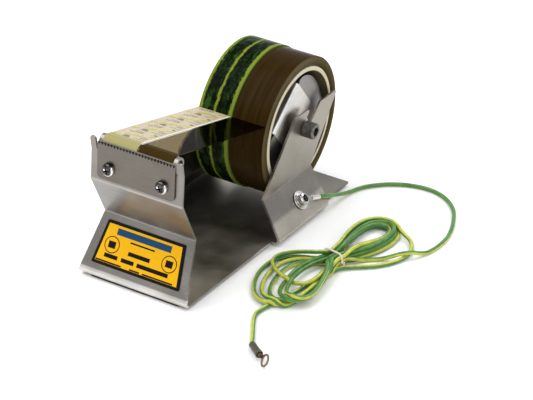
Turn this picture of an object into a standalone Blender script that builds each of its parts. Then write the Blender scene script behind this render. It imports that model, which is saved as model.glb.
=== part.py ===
"""Bench-top tape dispenser: one bent sheet-steel chassis that holds two rolls of tape side by side
on a lift-out spindle, a toothed cutter blade with a rolled tape rest behind it, and a ground cord
that is tied in a hank with a ring terminal at each end. Metres, +Z up, +X to the cord's side, the
front panel faces -Y. The origin is at the bottom, in the middle of the dispenser's footprint."""

import math

import bmesh
import bpy
from mathutils import Matrix, Vector

# Frame
GAP = 0.0003              # clearance between neighbouring solids
FRONT_Y = -0.1015         # front edge of the base
PAD_THICK = 0.0012
BASE_Z = PAD_THICK + GAP  # underside of the sheet

# Sheet chassis, heights above BASE_Z and depths behind FRONT_Y
SHEET = 0.0015
BASE_LENGTH = 0.2054
BASE_HALF = 0.040
PANEL_HALF = 0.0334
TAB_HALF = 0.0282
CORNER = (-0.0004, 0.5 * SHEET)
CREASE = (0.0195, 0.0388)
KNEE = (0.00245, 0.0687)
PANEL_TOP = 0.0905
CURL_RADIUS = 0.0043      # outside of the rolled tape rest
CURL_Z = 0.0955
EAR_INNER = 0.0294
EAR_TOP = 0.0995
EAR_LEAN = 0.0022
BEND = 0.00245            # centreline radius of a press-brake bend
TIGHT_BEND = 0.0014
INSET = 0.00002           # keeps joined sheets' faces from coinciding

# Side arms
ARM_X = 0.0294            # outer face of the upright arm
FOLD_X = 0.0490           # where the leaning flange's outer face would meet the underside
ARM_BEND_Z = 0.0260
ARM_TOP = 0.0702
FOLD_FRONT, FOLD_REAR = 0.1033, 0.1680
BEND_FRONT, BEND_REAR = 0.1087, 0.1705
TOP_FRONT, TOP_REAR = 0.1453, 0.1996
CHEEK_FRONT, CHEEK_TOP = 0.0955, 0.0520    # the left arm's front edge and the top of that edge
AXLE_Y, AXLE_Z = 0.1585, 0.0579
SLOT_ANGLE = math.radians(43)
NOTCH = 0.0014

# Spindle and rolls
AXLE_R = 0.0040
SLOT_R = AXLE_R + GAP
ROLL_HALF = 0.0252        # outer face of each roll from the middle
ROLL_SPLIT = 0.0004
PRINTED_R = 0.0488
CLEAR_R = 0.0480
ROLLS = (
    ("printed", -ROLL_HALF, -ROLL_SPLIT, PRINTED_R),
    ("clear", ROLL_SPLIT, ROLL_HALF, CLEAR_R),
)
CORE_OUTER, CORE_INNER = 0.0413, 0.0381
HUB_SHEET = 0.0012
HUB_FACE = 0.0245
HUB_CHORD = 0.0268        # axis to each flange
HUB_WAIST = 0.0190        # axis to the line where each side lobe folds back
HUB_LOBE = 0.0345
HUB_FLANGE = 0.0120
HUB_TURN = math.radians(131.7)
LOBE_FOLD = math.radians(11)
BOLT_HEAD_R, BOLT_HEAD_HIGH = 0.0055, 0.0080
BOLT_END = 0.0402
HEX_SOCKET = 0.0060       # across flats
AXLE_WASHER_R, AXLE_WASHER_THICK = 0.0080, 0.0016
AXLE_NUT, AXLE_NUT_HIGH = 0.0130, 0.0065
SPACER_R, SLEEVE_OUTER = 0.0075, 0.0070

# Blade, screws and label
BLADE_THICK = 0.0010
BLADE_BOTTOM, BLADE_TIP = 0.0718, 0.0966
TOOTH_DEPTH = 0.0017
TEETH = 25
SCREW_X, SCREW_Z = 0.0194, 0.0798
SCREW_R = 0.0025
HEAD_R, HEAD_HIGH = 0.00425, 0.0032
LABEL_THICK = 0.0004
LABEL_LOW, LABEL_HIGH = 0.0092, 0.0381    # along the panel from its foot
LABEL_HALF_LOW, LABEL_HALF_HIGH = 0.0326, 0.0286
WEB_THICK = 0.0003
PEEL_ANGLE = math.radians(158.5)
WEB_END_ANGLE = math.radians(156)

# Ground cord
CORD_R = 0.0014
GROUND_Y, GROUND_X = 0.1420, 0.0382
TERMINAL_DROP = 0.314     # share of the near terminal's direction that runs down the flange
HANK_LIFT, HANK_HIGH = 0.0002, 0.0112
TIE_R = 0.0007
TIE_LEFT, TIE_RIGHT = (0.0755, 0.0086), (0.0959, -0.0030)

LEAD_ROUTE = [
    (0.0452, 0.0620, 0.0121), (0.0457, 0.0690, 0.0096), (0.0460, 0.0770, 0.0066),
    (0.0464, 0.0860, 0.0037), (0.0475, 0.0950, 0.0018), (0.0503, 0.1045, 0.0014),
    (0.0565, 0.1135, 0.0014), (0.0651, 0.1214, 0.0014), (0.0760, 0.1272, 0.0014),
    (0.0880, 0.1294, 0.0014), (0.0989, 0.1272, 0.0014), (0.1085, 0.1210, 0.0014),
    (0.1162, 0.1122, 0.0014), (0.1220, 0.1010, 0.0014), (0.1267, 0.0890, 0.0014),
    (0.1298, 0.0755, 0.0014), (0.1300, 0.0620, 0.0014), (0.1284, 0.0525, 0.0014),
    (0.1256, 0.0458, 0.0028), (0.1224, 0.0407, 0.0046), (0.1190, 0.0365, 0.0049),
    (0.1152, 0.0328, 0.0040), (0.1110, 0.0293, 0.0024), (0.1070, 0.0259, 0.0015),
    (0.1033, 0.0227, 0.0014), (0.0996, 0.0190, 0.0014),
]
LOOP_ROUTE = [
    (0.1058, 0.0603, 0.0015), (0.1103, 0.0600, 0.0014), (0.1150, 0.0565, 0.0014),
    (0.1186, 0.0500, 0.0014), (0.1201, 0.0417, 0.0014), (0.1198, 0.0355, 0.0014),
    (0.1179, 0.0294, 0.0014), (0.1150, 0.0235, 0.0014), (0.1110, 0.0178, 0.0014),
    (0.1064, 0.0130, 0.0014), (0.1018, 0.0092, 0.0014), (0.0975, 0.0058, 0.0014),
]
TAIL_ROUTE = [
    (0.0778, -0.0688, 0.0014), (0.0768, -0.0735, 0.0014), (0.0772, -0.0790, 0.0014),
    (0.0794, -0.0850, 0.0014), (0.0826, -0.0912, 0.0014), (0.0862, -0.0975, 0.0015),
    (0.0905, -0.1045, 0.0019), (0.0945, -0.1107, 0.0023),
]
HANK_OUTLINE = [
    (0.0945, 0.0000), (0.0945, -0.0100), (0.0965, -0.0200), (0.0985, -0.0320), (0.0998, -0.0460),
    (0.0985, -0.0560), (0.0930, -0.0615), (0.0860, -0.0650), (0.0730, -0.0678), (0.0660, -0.0650),
    (0.0590, -0.0560), (0.0530, -0.0430), (0.0498, -0.0270), (0.0505, -0.0130), (0.0570, -0.0030),
    (0.0650, 0.0025), (0.0760, 0.0060), (0.0785, 0.0120), (0.0770, 0.0250), (0.0740, 0.0400),
    (0.0733, 0.0520), (0.0755, 0.0640), (0.0815, 0.0720), (0.0895, 0.0745), (0.0970, 0.0720),
    (0.1030, 0.0650), (0.1052, 0.0560), (0.1050, 0.0420), (0.1010, 0.0280), (0.0965, 0.0160),
]
SLEEVE_START = (0.0958, -0.1127, 0.0025)
FAR_RING = (0.1120, -0.1266, 0.0043)
SLEEVE_R = 0.0022
SLEEVE_END = 0.0070           # from the ring's centre
FAR_TILT = math.radians(63)   # how far the ring stands up on its edge

PARTS = "tape_dispenser"
CUTTERS = "cutters"

ALONG_X = Matrix(((0, 0, 1), (1, 0, 0), (0, 1, 0))).to_4x4()   # outline in Y and Z, extruded along X
ALONG_Y = Matrix(((1, 0, 0), (0, 0, -1), (0, 1, 0))).to_4x4()  # outline in X and Z, extruded along Y
UPRIGHT = Matrix.Identity(4)
FACING = Matrix.Rotation(math.pi / 2, 4, "X")                  # Z towards the front


def clear_scene():
    for obj in list(bpy.data.objects):
        bpy.data.objects.remove(obj, do_unlink=True)
    for name in (PARTS, CUTTERS):
        collection = bpy.data.collections.new(name)
        bpy.context.scene.collection.children.link(collection)


def material(name, colour, roughness, metallic=0.0):
    made = bpy.data.materials.get(name) or bpy.data.materials.new(name)
    made.use_nodes = True
    shader = made.node_tree.nodes["Principled BSDF"]
    shader.inputs["Base Color"].default_value = (*colour, 1.0)
    shader.inputs["Roughness"].default_value = roughness
    shader.inputs["Metallic"].default_value = metallic
    return made


def place(depth, height, x=0.0):
    """A point of the dispenser from its depth behind the front edge and its height over the sheet."""
    return Vector((x, FRONT_Y + depth, BASE_Z + height))


def link(obj, finish=None):
    bpy.data.collections[PARTS if finish else CUTTERS].objects.link(obj)
    if finish:
        obj.data.materials.append(finish)
    else:
        obj.hide_render = True
        obj.display_type = "WIRE"
    return obj


def mesh_object(name, bm, finish=None, matrix=UPRIGHT):
    bmesh.ops.recalc_face_normals(bm, faces=bm.faces)
    mesh = bpy.data.meshes.new(name)
    bm.to_mesh(mesh)
    bm.free()
    obj = bpy.data.objects.new(name, mesh)
    obj.matrix_world = matrix
    return link(obj, finish)


def as_mesh(curve_object, finish=None):
    """The same shape as a closed mesh, so that it can be cut or joined."""
    bpy.context.scene.collection.objects.link(curve_object)
    bpy.context.view_layer.update()
    graph = bpy.context.evaluated_depsgraph_get()
    mesh = bpy.data.meshes.new_from_object(curve_object.evaluated_get(graph))
    name, matrix = curve_object.name, curve_object.matrix_world.copy()
    bpy.data.objects.remove(curve_object, do_unlink=True)
    bm = bmesh.new()
    bm.from_mesh(mesh)
    bpy.data.meshes.remove(mesh)
    bmesh.ops.remove_doubles(bm, verts=bm.verts, dist=1e-6)
    return mesh_object(name, bm, finish, matrix)


def prism(name, outlines, half_depth, matrix, finish=None):
    """Closed flat outlines, filled and extruded both ways; a second outline is a hole."""
    curve = bpy.data.curves.new(name, "CURVE")
    curve.dimensions = "2D"
    curve.fill_mode = "BOTH"
    curve.extrude = half_depth
    for outline in outlines:
        spline = curve.splines.new("POLY")
        spline.points.add(len(outline) - 1)
        for point, (u, v) in zip(spline.points, outline):
            point.co = (u, v, 0.0, 1.0)
        spline.use_cyclic_u = True
    obj = bpy.data.objects.new(name, curve)
    obj.matrix_world = matrix
    return as_mesh(obj, finish)


def box(name, low, high, matrix=UPRIGHT, finish=None):
    bm = bmesh.new()
    bmesh.ops.create_cube(bm, size=1.0)
    low, high = Vector(low), Vector(high)
    bmesh.ops.scale(bm, vec=high - low, verts=bm.verts)
    bmesh.ops.translate(bm, vec=(low + high) / 2, verts=bm.verts)
    return mesh_object(name, bm, finish, matrix)


def cylinder(name, radius, low, high, matrix, finish=None, sides=48):
    """A cylinder along the matrix's own Z, from low to high."""
    bm = bmesh.new()
    bmesh.ops.create_cone(
        bm, cap_ends=True, segments=sides, radius1=radius, radius2=radius, depth=high - low
    )
    bmesh.ops.translate(bm, vec=(0, 0, (low + high) / 2), verts=bm.verts)
    return mesh_object(name, bm, finish, matrix)


def turned(name, profile, matrix, finish, steps=64):
    """A profile of (radius, height) pairs turned about the matrix's own Z."""
    bm = bmesh.new()
    ring = [bm.verts.new((radius, 0.0, height)) for radius, height in profile]
    for start, end in zip(ring, ring[1:]):
        bm.edges.new((start, end))
    if profile[0][0] > 0.0:
        bm.edges.new((ring[-1], ring[0]))
    mesh = bpy.data.meshes.new(name)
    bm.to_mesh(mesh)
    bm.free()
    obj = bpy.data.objects.new(name, mesh)
    obj.matrix_world = matrix
    screw = obj.modifiers.new("Turn", "SCREW")
    screw.steps = screw.render_steps = steps
    screw.use_merge_vertices = True
    screw.merge_threshold = 1e-5
    screw.use_smooth_shade = True
    return link(obj, finish)


def cut(obj, cutter, operation="DIFFERENCE"):
    modifier = obj.modifiers.new(cutter.name, "BOOLEAN")
    modifier.operation = operation
    modifier.object = cutter
    return obj


def round_line(radius, sides):
    """A regular outline of so many sides, its corners on a circle."""
    turns = [2 * math.pi * side / sides for side in range(sides)]
    return [(radius * math.cos(turn), radius * math.sin(turn)) for turn in turns]


def rounded(corners, steps=6):
    """An outline with each (u, v, radius) corner rounded by an arc."""
    outline = []
    for index, (u, v, radius) in enumerate(corners):
        here = Vector((u, v))
        if radius <= 0:
            outline.append((u, v))
            continue
        before = (Vector(corners[index - 1][:2]) - here).normalized()
        after = (Vector(corners[(index + 1) % len(corners)][:2]) - here).normalized()
        half = before.angle(after) / 2
        centre = here + (before + after).normalized() * radius / math.sin(half)
        first = here + before * radius / math.tan(half) - centre
        last = here + after * radius / math.tan(half) - centre
        sweep = first.angle_signed(last)
        for step in range(steps + 1):
            turned_by = first.copy()
            turned_by.rotate(Matrix.Rotation(-sweep * step / steps, 2))
            outline.append(tuple(centre + turned_by))
    return outline


def bent_line(corners, steps=7):
    """An open line with each inner (u, v, radius) corner bent to its radius."""
    closed = rounded([(*corners[0][:2], 0), *corners[1:-1], (*corners[-1][:2], 0)], steps)
    return [Vector(point) for point in closed]


def strip(line, thickness):
    """The closed outline of a sheet of this thickness about an open centreline."""
    left, right = [], []
    for index, point in enumerate(line):
        before = line[max(index - 1, 0)]
        after = line[min(index + 1, len(line) - 1)]
        first = (point - before).normalized() if index else (after - point).normalized()
        second = (after - point).normalized() if index < len(line) - 1 else first
        along = (first + second).normalized()
        side = Vector((-along.y, along.x)) * thickness / 2 / max(along.dot(second), 0.5)
        left.append(tuple(point + side))
        right.append(tuple(point - side))
    return left + right[::-1]


def tube(name, points, radius, finish, cyclic=False):
    curve = bpy.data.curves.new(name, "CURVE")
    curve.dimensions = "3D"
    curve.bevel_depth = radius
    curve.bevel_resolution = 2
    curve.use_fill_caps = True
    spline = curve.splines.new("POLY")
    spline.points.add(len(points) - 1)
    for point, place_at in zip(spline.points, points):
        point.co = (*place_at, 1.0)
    spline.use_cyclic_u = cyclic
    obj = bpy.data.objects.new(name, curve)
    return link(obj, finish)


def through(points, spacing, closed=False):
    """Points about one spacing apart on a smooth curve through the given ones."""
    points = [Vector(point) for point in points]
    count = len(points)
    made = []
    for index in range(count if closed else count - 1):
        if closed:
            p0, p1, p2, p3 = (points[(index + k) % count] for k in (-1, 0, 1, 2))
        else:
            p1, p2 = points[index], points[index + 1]
            p0 = points[index - 1] if index else p1 * 2 - p2
            p3 = points[index + 2] if index + 2 < count else p2 * 2 - p1
        parts = max(1, round((p2 - p1).length / spacing))
        for part in range(parts):
            t = part / parts
            made.append(
                0.5 * (2 * p1 + (p2 - p0) * t + (2 * p0 - 5 * p1 + 4 * p2 - p3) * t * t
                       + (3 * p1 - p0 - 3 * p2 + p3) * t ** 3)
            )
    return made if closed else made + [points[-1]]


# The chassis

def sheet_line():
    """Centreline of the middle strip: base, front panel, knee, upright panel and rolled rest."""
    middle = CURL_RADIUS - SHEET / 2
    line = bent_line([
        (BASE_LENGTH, CORNER[1], 0), (*CORNER, BEND), (*CREASE, TIGHT_BEND), (*KNEE, BEND),
        (KNEE[0], CURL_Z, 0),
    ])
    centre = Vector((KNEE[0] + middle, CURL_Z))
    for step in range(1, 19):
        angle = math.pi - math.radians(14) * step
        line.append(centre + Vector((math.cos(angle), math.sin(angle))) * middle)
    return line


def arm_outline(side):
    """Side view of one arm, its flange below and its open slot for the spindle above. The left arm
    is a wider cheek that reaches further forward."""
    along = Vector((math.cos(SLOT_ANGLE), math.sin(SLOT_ANGLE)))
    across = Vector((-along.y, along.x)) * SLOT_R
    seat = Vector((AXLE_Y, AXLE_Z))
    outline = [(FOLD_FRONT, -0.01, 0), (FOLD_FRONT, 0.003, 0)]
    if side > 0:
        outline.append((BEND_FRONT, ARM_BEND_Z, 0))
    else:
        outline += [(CHEEK_FRONT, ARM_BEND_Z, 0.004), (CHEEK_FRONT, CHEEK_TOP, 0.010)]
    outline += [(TOP_FRONT, ARM_TOP, 0.0010)]
    upper = seat + across
    lower = seat - across
    beak = upper + along * (ARM_TOP - upper.y) / along.y
    mouth = lower + along * (ARM_TOP - lower.y) / along.y
    outline += [(*beak, 0.0016)]
    for step in range(13):
        angle = SLOT_ANGLE + math.pi / 2 + math.pi * step / 12
        outline.append((*(seat + Vector((math.cos(angle), math.sin(angle))) * SLOT_R), 0))
    outline += [(*mouth, 0.0015), (TOP_REAR, ARM_TOP, 0.0012)]
    outline += [(BEND_REAR, ARM_BEND_Z + 0.002, 0), (FOLD_REAR, 0.003, 0), (FOLD_REAR, -0.01, 0)]
    return rounded(outline)


def bracket(side):
    """One arm: the sheet's end view, extruded along the base, then trimmed to its side view."""
    lean = (FOLD_X - ARM_X) / ARM_BEND_Z
    slope = math.hypot(1.0, lean)
    mid_x = ARM_X - SHEET / 2
    foot_x = FOLD_X - SHEET / 2 * slope - lean * SHEET / 2
    bend_z = (FOLD_X - SHEET / 2 * slope - mid_x) / lean
    line = bent_line([
        (0.034, SHEET / 2, 0), (foot_x, SHEET / 2, BEND), (mid_x, bend_z, TIGHT_BEND + 0.0006),
        (mid_x, ARM_TOP + 0.004, 0),
    ])
    name = "right" if side > 0 else "left"
    outline = [(side * u, v) for u, v in strip(line, SHEET - 2 * INSET)]
    half = (TOP_REAR - CHEEK_FRONT) / 2 + 0.006
    centre = place((TOP_REAR + CHEEK_FRONT) / 2, 0.0)
    made = prism(f"bracket_{name}", [outline], half, Matrix.Translation(centre) @ ALONG_Y)
    shape = prism(
        f"arm_shape_{name}", [arm_outline(side)], 0.02, Matrix.Translation(place(0, 0, side * 0.038)) @ ALONG_X
    )
    return cut(made, shape, "INTERSECT")


def ear(side):
    """A narrow guard beside the blade that leans forward, with a round top."""
    line = [Vector((KNEE[0], PANEL_TOP - 0.0008)), Vector((KNEE[0] - EAR_LEAN, EAR_TOP))]
    middle = side * (EAR_INNER + PANEL_HALF) / 2
    half = (PANEL_HALF - EAR_INNER) / 2 - INSET
    name = "right" if side > 0 else "left"
    at = Matrix.Translation(place(0, 0, middle))
    made = prism(f"ear_{name}", [strip(line, SHEET - 2 * INSET)], half, at @ ALONG_X)
    front = [(-half - 0.001, PANEL_TOP - 0.003, 0), (half + 0.001, PANEL_TOP - 0.003, 0)]
    front += [(half + 0.001, EAR_TOP - 0.0035, 0), (half, EAR_TOP - 0.0025, 0)]
    front += [(half, EAR_TOP, half * 0.9), (-half, EAR_TOP, half * 0.9)]
    front += [(-half, EAR_TOP - 0.0025, 0), (-half - 0.001, EAR_TOP - 0.0035, 0)]
    return cut(made, prism(f"ear_shape_{name}", [rounded(front)], 0.008, at @ ALONG_Y), "INTERSECT")


def flange_matrix():
    """Axes on the right flange's outer face at the ground screw: X along the terminal, Z outward."""
    lean = math.atan((FOLD_X - ARM_X) / ARM_BEND_Z)
    outward = Vector((math.cos(lean), 0, math.sin(lean)))
    down = Vector((math.sin(lean), 0, -math.cos(lean)))
    along = (Vector((0, math.sqrt(1 - TERMINAL_DROP ** 2), 0)) + down * TERMINAL_DROP).normalized()
    height = (FOLD_X - GROUND_X) * ARM_BEND_Z / (FOLD_X - ARM_X)
    matrix = Matrix((along, outward.cross(along), outward)).transposed().to_4x4()
    return Matrix.Translation(place(GROUND_Y, height, GROUND_X)) @ matrix


def front_outline():
    """Front view of the middle strip: full width at its foot, narrower above the crease."""
    return [
        (-BASE_HALF, -0.005), (BASE_HALF, -0.005), (BASE_HALF, 0.003), (PANEL_HALF, CREASE[1]),
        (PANEL_HALF, 0.110), (-PANEL_HALF, 0.110), (-PANEL_HALF, CREASE[1]), (-BASE_HALF, 0.003),
    ]


def chassis(steel):
    base = Matrix.Translation(place(0, 0))
    obj = prism("chassis", [strip(sheet_line(), SHEET)], BASE_HALF + 0.002, base @ ALONG_X, steel)
    front = prism("front_shape", [front_outline()], 0.25, base @ ALONG_Y)
    cut(obj, front, "INTERSECT")
    for side in (-1, 1):
        low = place(-0.010, PANEL_TOP, side * TAB_HALF)
        high = place(0.030, 0.115, side * 0.060)
        corner = box(
            f"above_panel_{side}", [min(p) for p in zip(low, high)], [max(p) for p in zip(low, high)]
        )
        cut(obj, corner)
        cut(obj, ear(side), "UNION")
        cut(obj, bracket(side), "UNION")
        for start in (FOLD_FRONT - NOTCH + INSET, FOLD_REAR - INSET):
            low = place(start, -0.002, min(side * 0.038, side * 0.0435))
            high = place(start + NOTCH, 0.004, max(side * 0.038, side * 0.0435))
            cut(obj, box(f"relief_{side}_{start:.4f}", low, high))
        hole = Matrix.Translation(place(0.0, SCREW_Z, side * SCREW_X)) @ FACING
        cut(obj, cylinder(f"screw_hole_{side}", SCREW_R + GAP, -0.010, 0.010, hole, sides=32))
    cut(obj, cylinder("ground_hole", SCREW_R + GAP, -0.006, 0.006, flange_matrix(), sides=32))
    return obj


# Front pieces

def blade_outline():
    pitch = 2 * TAB_HALF / TEETH
    corners = [(TAB_HALF, BLADE_BOTTOM, 0.003), (TAB_HALF, BLADE_TIP, 0)]
    for tooth in range(TEETH):
        right = TAB_HALF - tooth * pitch
        corners.append((right - pitch / 2, BLADE_TIP - TOOTH_DEPTH, 0))
        corners.append((right - pitch, BLADE_TIP, 0))
    corners.append((-TAB_HALF, BLADE_BOTTOM, 0.003))
    return rounded(corners)


def cutter_blade(finish):
    front = KNEE[0] - SHEET / 2 - GAP - BLADE_THICK
    centre = Matrix.Translation(place(front + BLADE_THICK / 2, 0.0)) @ ALONG_Y
    obj = prism("cutter_blade", [blade_outline()], BLADE_THICK / 2, centre, finish)
    for side in (-1, 1):
        hole = Matrix.Translation(place(front, SCREW_Z, side * SCREW_X)) @ FACING
        cut(obj, cylinder(f"blade_hole_{side}", SCREW_R + GAP, -0.003, 0.003, hole, sides=32))
    return obj


def pan_screw(name, matrix, head_r, head_high, shank_r, length, finish):
    """A cross-recess pan head on the matrix's own +Z side of its seat, with its shank below."""
    profile = [(0.0, head_high)]
    profile += [
        (head_r * math.sin(angle), head_high * 0.45 + head_high * 0.55 * math.cos(angle))
        for angle in (math.radians(15 * step) for step in range(1, 7))
    ]
    profile += [(head_r, 0.0), (shank_r, 0.0), (shank_r, -length + 0.0005)]
    profile += [(shank_r - 0.0005, -length), (0.0, -length)]
    obj = turned(name, profile, matrix, finish, 32)
    for turn in (0.4, 0.4 + math.pi / 2):
        slot = box(
            f"{name}_recess_{turn:.1f}", (-head_r * 0.5, -head_r * 0.11, head_high * 0.42),
            (head_r * 0.5, head_r * 0.11, head_high * 1.5), matrix @ Matrix.Rotation(turn, 4, "Z"),
        )
        cut(obj, slot)
    return obj


def hex_nut(name, matrix, across, low, high, bore, finish):
    """A nut along the matrix's own Z, its corners chamfered at both ends."""
    corner = across / math.sqrt(3)
    half = (high - low) / 2
    middle = matrix @ Matrix.Translation((0, 0, low + half))
    obj = prism(name, [round_line(corner, 6), round_line(bore, 32)], half, middle, finish)
    drop = corner * 0.12
    dome = turned(
        f"{name}_dome", [(0.0, half), (across * 0.49, half), (corner * 1.1, half - drop * 1.6),
                         (corner * 1.1, drop * 1.6 - half), (across * 0.49, -half), (0.0, -half)],
        middle, None, 48,
    )
    return cut(obj, dome, "INTERSECT")


def washer(name, matrix, outer, inner, low, high, finish):
    return turned(name, [(outer, high), (outer, low), (inner, low), (inner, high)], matrix, finish, 48)


def blade_fixings(finish):
    face = KNEE[0] - SHEET / 2 - GAP - BLADE_THICK
    back = KNEE[0] + SHEET / 2 + GAP
    for name, side in (("left", -1), ("right", 1)):
        at = Matrix.Translation(place(face - GAP, SCREW_Z, side * SCREW_X)) @ FACING
        pan_screw(f"blade_screw_{name}", at, HEAD_R, HEAD_HIGH, SCREW_R, 0.0120, finish)
        at = Matrix.Translation(place(back, SCREW_Z, side * SCREW_X)) @ FACING
        washer(f"blade_washer_{name}", at, 0.0050, SCREW_R + GAP, -0.0010, 0.0, finish)
        hex_nut(f"blade_nut_{name}", at, 0.0080, -0.0053, -0.0013, SCREW_R + GAP, finish)


def panel_matrix():
    """Axes on the front panel's outer face: origin at its foot, Y up the panel, Z outward."""
    up = Vector((0, CREASE[0] - CORNER[0], CREASE[1] - CORNER[1])).normalized()
    outward = Vector((0, -up.z, up.y))
    matrix = Matrix((Vector((1, 0, 0)), up, outward)).transposed().to_4x4()
    foot = place(*CORNER) + outward * SHEET / 2
    return Matrix.Translation(foot) @ matrix


def label_plate(finish):
    corners = [
        (-LABEL_HALF_LOW, LABEL_LOW, 0.001), (LABEL_HALF_LOW, LABEL_LOW, 0.001),
        (LABEL_HALF_HIGH, LABEL_HIGH, 0.001), (-LABEL_HALF_HIGH, LABEL_HIGH, 0.001),
    ]
    middle = panel_matrix() @ Matrix.Translation((0, 0, GAP + LABEL_THICK / 2))
    return prism("label_plate", [rounded(corners, 3)], LABEL_THICK / 2, middle, finish)


def base_pad(finish):
    corners = [(-0.034, 0.003, 0.003), (0.034, 0.003, 0.003), (0.034, 0.200, 0.003), (-0.034, 0.200, 0.003)]
    middle = Matrix.Translation((0, FRONT_Y, PAD_THICK / 2))
    return prism("base_pad", [rounded(corners, 4)], PAD_THICK / 2, middle, finish)


# Spindle, hub and rolls

def axle_matrix():
    """Axes at the spindle's middle: Z along +X of the object, X along +Y."""
    return Matrix.Translation(place(AXLE_Y, AXLE_Z)) @ ALONG_X


def axle_bolt(finish):
    seat = ARM_X + GAP
    top = seat + BOLT_HEAD_HIGH
    edge = 0.0007
    profile = [
        (0.0, top), (BOLT_HEAD_R - edge, top), (BOLT_HEAD_R, top - edge), (BOLT_HEAD_R, seat),
        (AXLE_R, seat), (AXLE_R, edge - BOLT_END), (AXLE_R - edge, -BOLT_END), (0.0, -BOLT_END),
    ]
    obj = turned("axle_bolt", profile, axle_matrix(), finish, 48)
    at = axle_matrix() @ Matrix.Translation((0, 0, top))
    return cut(obj, prism("hex_socket", [round_line(HEX_SOCKET / math.sqrt(3), 6)], 0.004, at))


def spindle_fittings(dark, bright, nylon):
    axle = axle_matrix()
    bore = AXLE_R + GAP
    face = ARM_X + GAP
    washer("axle_washer", axle, AXLE_WASHER_R, bore, -face - AXLE_WASHER_THICK, -face, bright)
    seat = -face - AXLE_WASHER_THICK - GAP
    hex_nut("axle_nut", axle, AXLE_NUT, seat - AXLE_NUT_HIGH, seat, bore, dark)
    inner, outer = HUB_FACE + GAP, ARM_X - SHEET - GAP
    washer("hub_spacer_right", axle, SPACER_R, bore, inner, outer, nylon)
    washer("hub_spacer_left", axle, SPACER_R, bore, -outer, -inner, nylon)


def lobe_outline():
    """The round side lobe of a hub plate beyond its fold, from a little inside the fold."""
    reach = math.acos((HUB_WAIST - 0.0004) / HUB_LOBE)
    start = HUB_WAIST - 0.0004
    points = []
    for step in range(17):
        angle = -reach + 2 * reach * step / 16
        points.append((HUB_LOBE * math.cos(angle) - start, HUB_LOBE * math.sin(angle)))
    return [(u, max(-HUB_CHORD + 0.001, min(HUB_CHORD - 0.001, v))) for u, v in points]


def hub_plate(name, side, finish):
    """A bent core holder: a flat plate with a flange at two ends and a folded-back lobe at each side."""
    turn = Matrix.Rotation(HUB_TURN, 4, "Z")
    flip = Matrix.Scale(side, 4, Vector((0, 0, 1)))
    axle = axle_matrix() @ turn
    middle = side * (HUB_FACE - HUB_SHEET / 2)
    line = bent_line([
        (-HUB_CHORD, middle - side * HUB_FLANGE, 0), (-HUB_CHORD, middle, 0.0016),
        (HUB_CHORD, middle, 0.0016), (HUB_CHORD, middle - side * HUB_FLANGE, 0),
    ])
    obj = prism(name, [strip(line, HUB_SHEET)], HUB_WAIST, axle @ ALONG_Y, finish)
    for end in (-1, 1):
        fold = axle @ Matrix.Rotation(end * math.pi / 2, 4, "Z")
        fold = fold @ Matrix.Translation((HUB_WAIST - 0.0004, 0, middle))
        fold = fold @ Matrix.Rotation(side * LOBE_FOLD, 4, "Y")
        cut(obj, prism(f"{name}_lobe_{end}", [lobe_outline()], HUB_SHEET / 2 * 0.98, fold), "UNION")
    return cut(obj, cylinder(f"{name}_bore", AXLE_R + GAP, -0.03, 0.03, axle_matrix(), sides=40))


def hub_sleeve(finish):
    high = HUB_FACE - HUB_SHEET - GAP
    return washer("hub_sleeve", axle_matrix(), SLEEVE_OUTER, AXLE_R + GAP, -high, high, finish)


def ring_of(name, outer, inner, low, high, finish, edge=0.0004):
    profile = [
        (outer - edge, high), (outer, high - edge), (outer, low + edge), (outer - edge, low),
        (inner, low), (inner, high),
    ]
    return turned(name, profile, axle_matrix(), finish, 96)


def rolls(paper, printed, clear):
    finishes = {"printed": printed, "clear": clear}
    for name, low, high, radius in ROLLS:
        ring_of(f"{name}_tape_core", CORE_OUTER, CORE_INNER, low, high, paper)
        ring_of(f"{name}_tape_roll", radius, CORE_OUTER + GAP, low, high, finishes[name])


def web_line(roll_r):
    """From the blade's teeth, over the rolled rest, straight to where the tape leaves its roll."""
    radius = CURL_RADIUS + GAP + WEB_THICK / 2
    centre = Vector((KNEE[0] - SHEET / 2 + CURL_RADIUS, CURL_Z))
    axle = Vector((AXLE_Y, AXLE_Z))
    peel = axle + Vector((math.cos(PEEL_ANGLE), math.sin(PEEL_ANGLE))) * (roll_r + GAP)
    reach = peel - centre
    tangent = math.atan2(reach.y, reach.x) + math.acos(radius / reach.length)
    line = []
    for step in range(11):
        angle = WEB_END_ANGLE + (tangent - WEB_END_ANGLE) * step / 10
        line.append(centre + Vector((math.cos(angle), math.sin(angle))) * radius)
    return line + [peel]


def webs(printed, clear):
    finishes = {"printed": printed, "clear": clear}
    for name, low, high, radius in ROLLS:
        at = Matrix.Translation(place(0, 0, (low + high) / 2)) @ ALONG_X
        outline = strip(web_line(radius), WEB_THICK)
        prism(f"{name}_tape_web", [outline], (high - low) / 2, at, finishes[name])


# Ground cord

def ring_tongue(name, matrix, ring_r, hole_r, thick, low, reach, barrel_r, barrel_long, finish):
    """A flat ring with a tongue that joins it to a round crimp barrel along the matrix's own +X."""
    flat = matrix @ Matrix.Translation((0, 0, low + thick / 2))
    obj = prism(name, [round_line(ring_r, 40), round_line(hole_r, 32)], thick / 2, flat, finish)
    start, end, half = hole_r + (ring_r - hole_r) * 0.4, reach + 0.001, barrel_r * 0.9
    tongue = [(start, -half), (end, -half), (end, half), (start, half)]
    cut(obj, prism(f"{name}_tongue", [tongue], thick / 2 * 0.96, flat), "UNION")
    lie = matrix @ Matrix.Translation((0, 0, low + barrel_r)) @ Matrix.Rotation(math.pi / 2, 4, "Y")
    barrel = cylinder(f"{name}_barrel", barrel_r, reach, reach + barrel_long, lie, sides=24)
    return cut(obj, barrel, "UNION")


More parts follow.
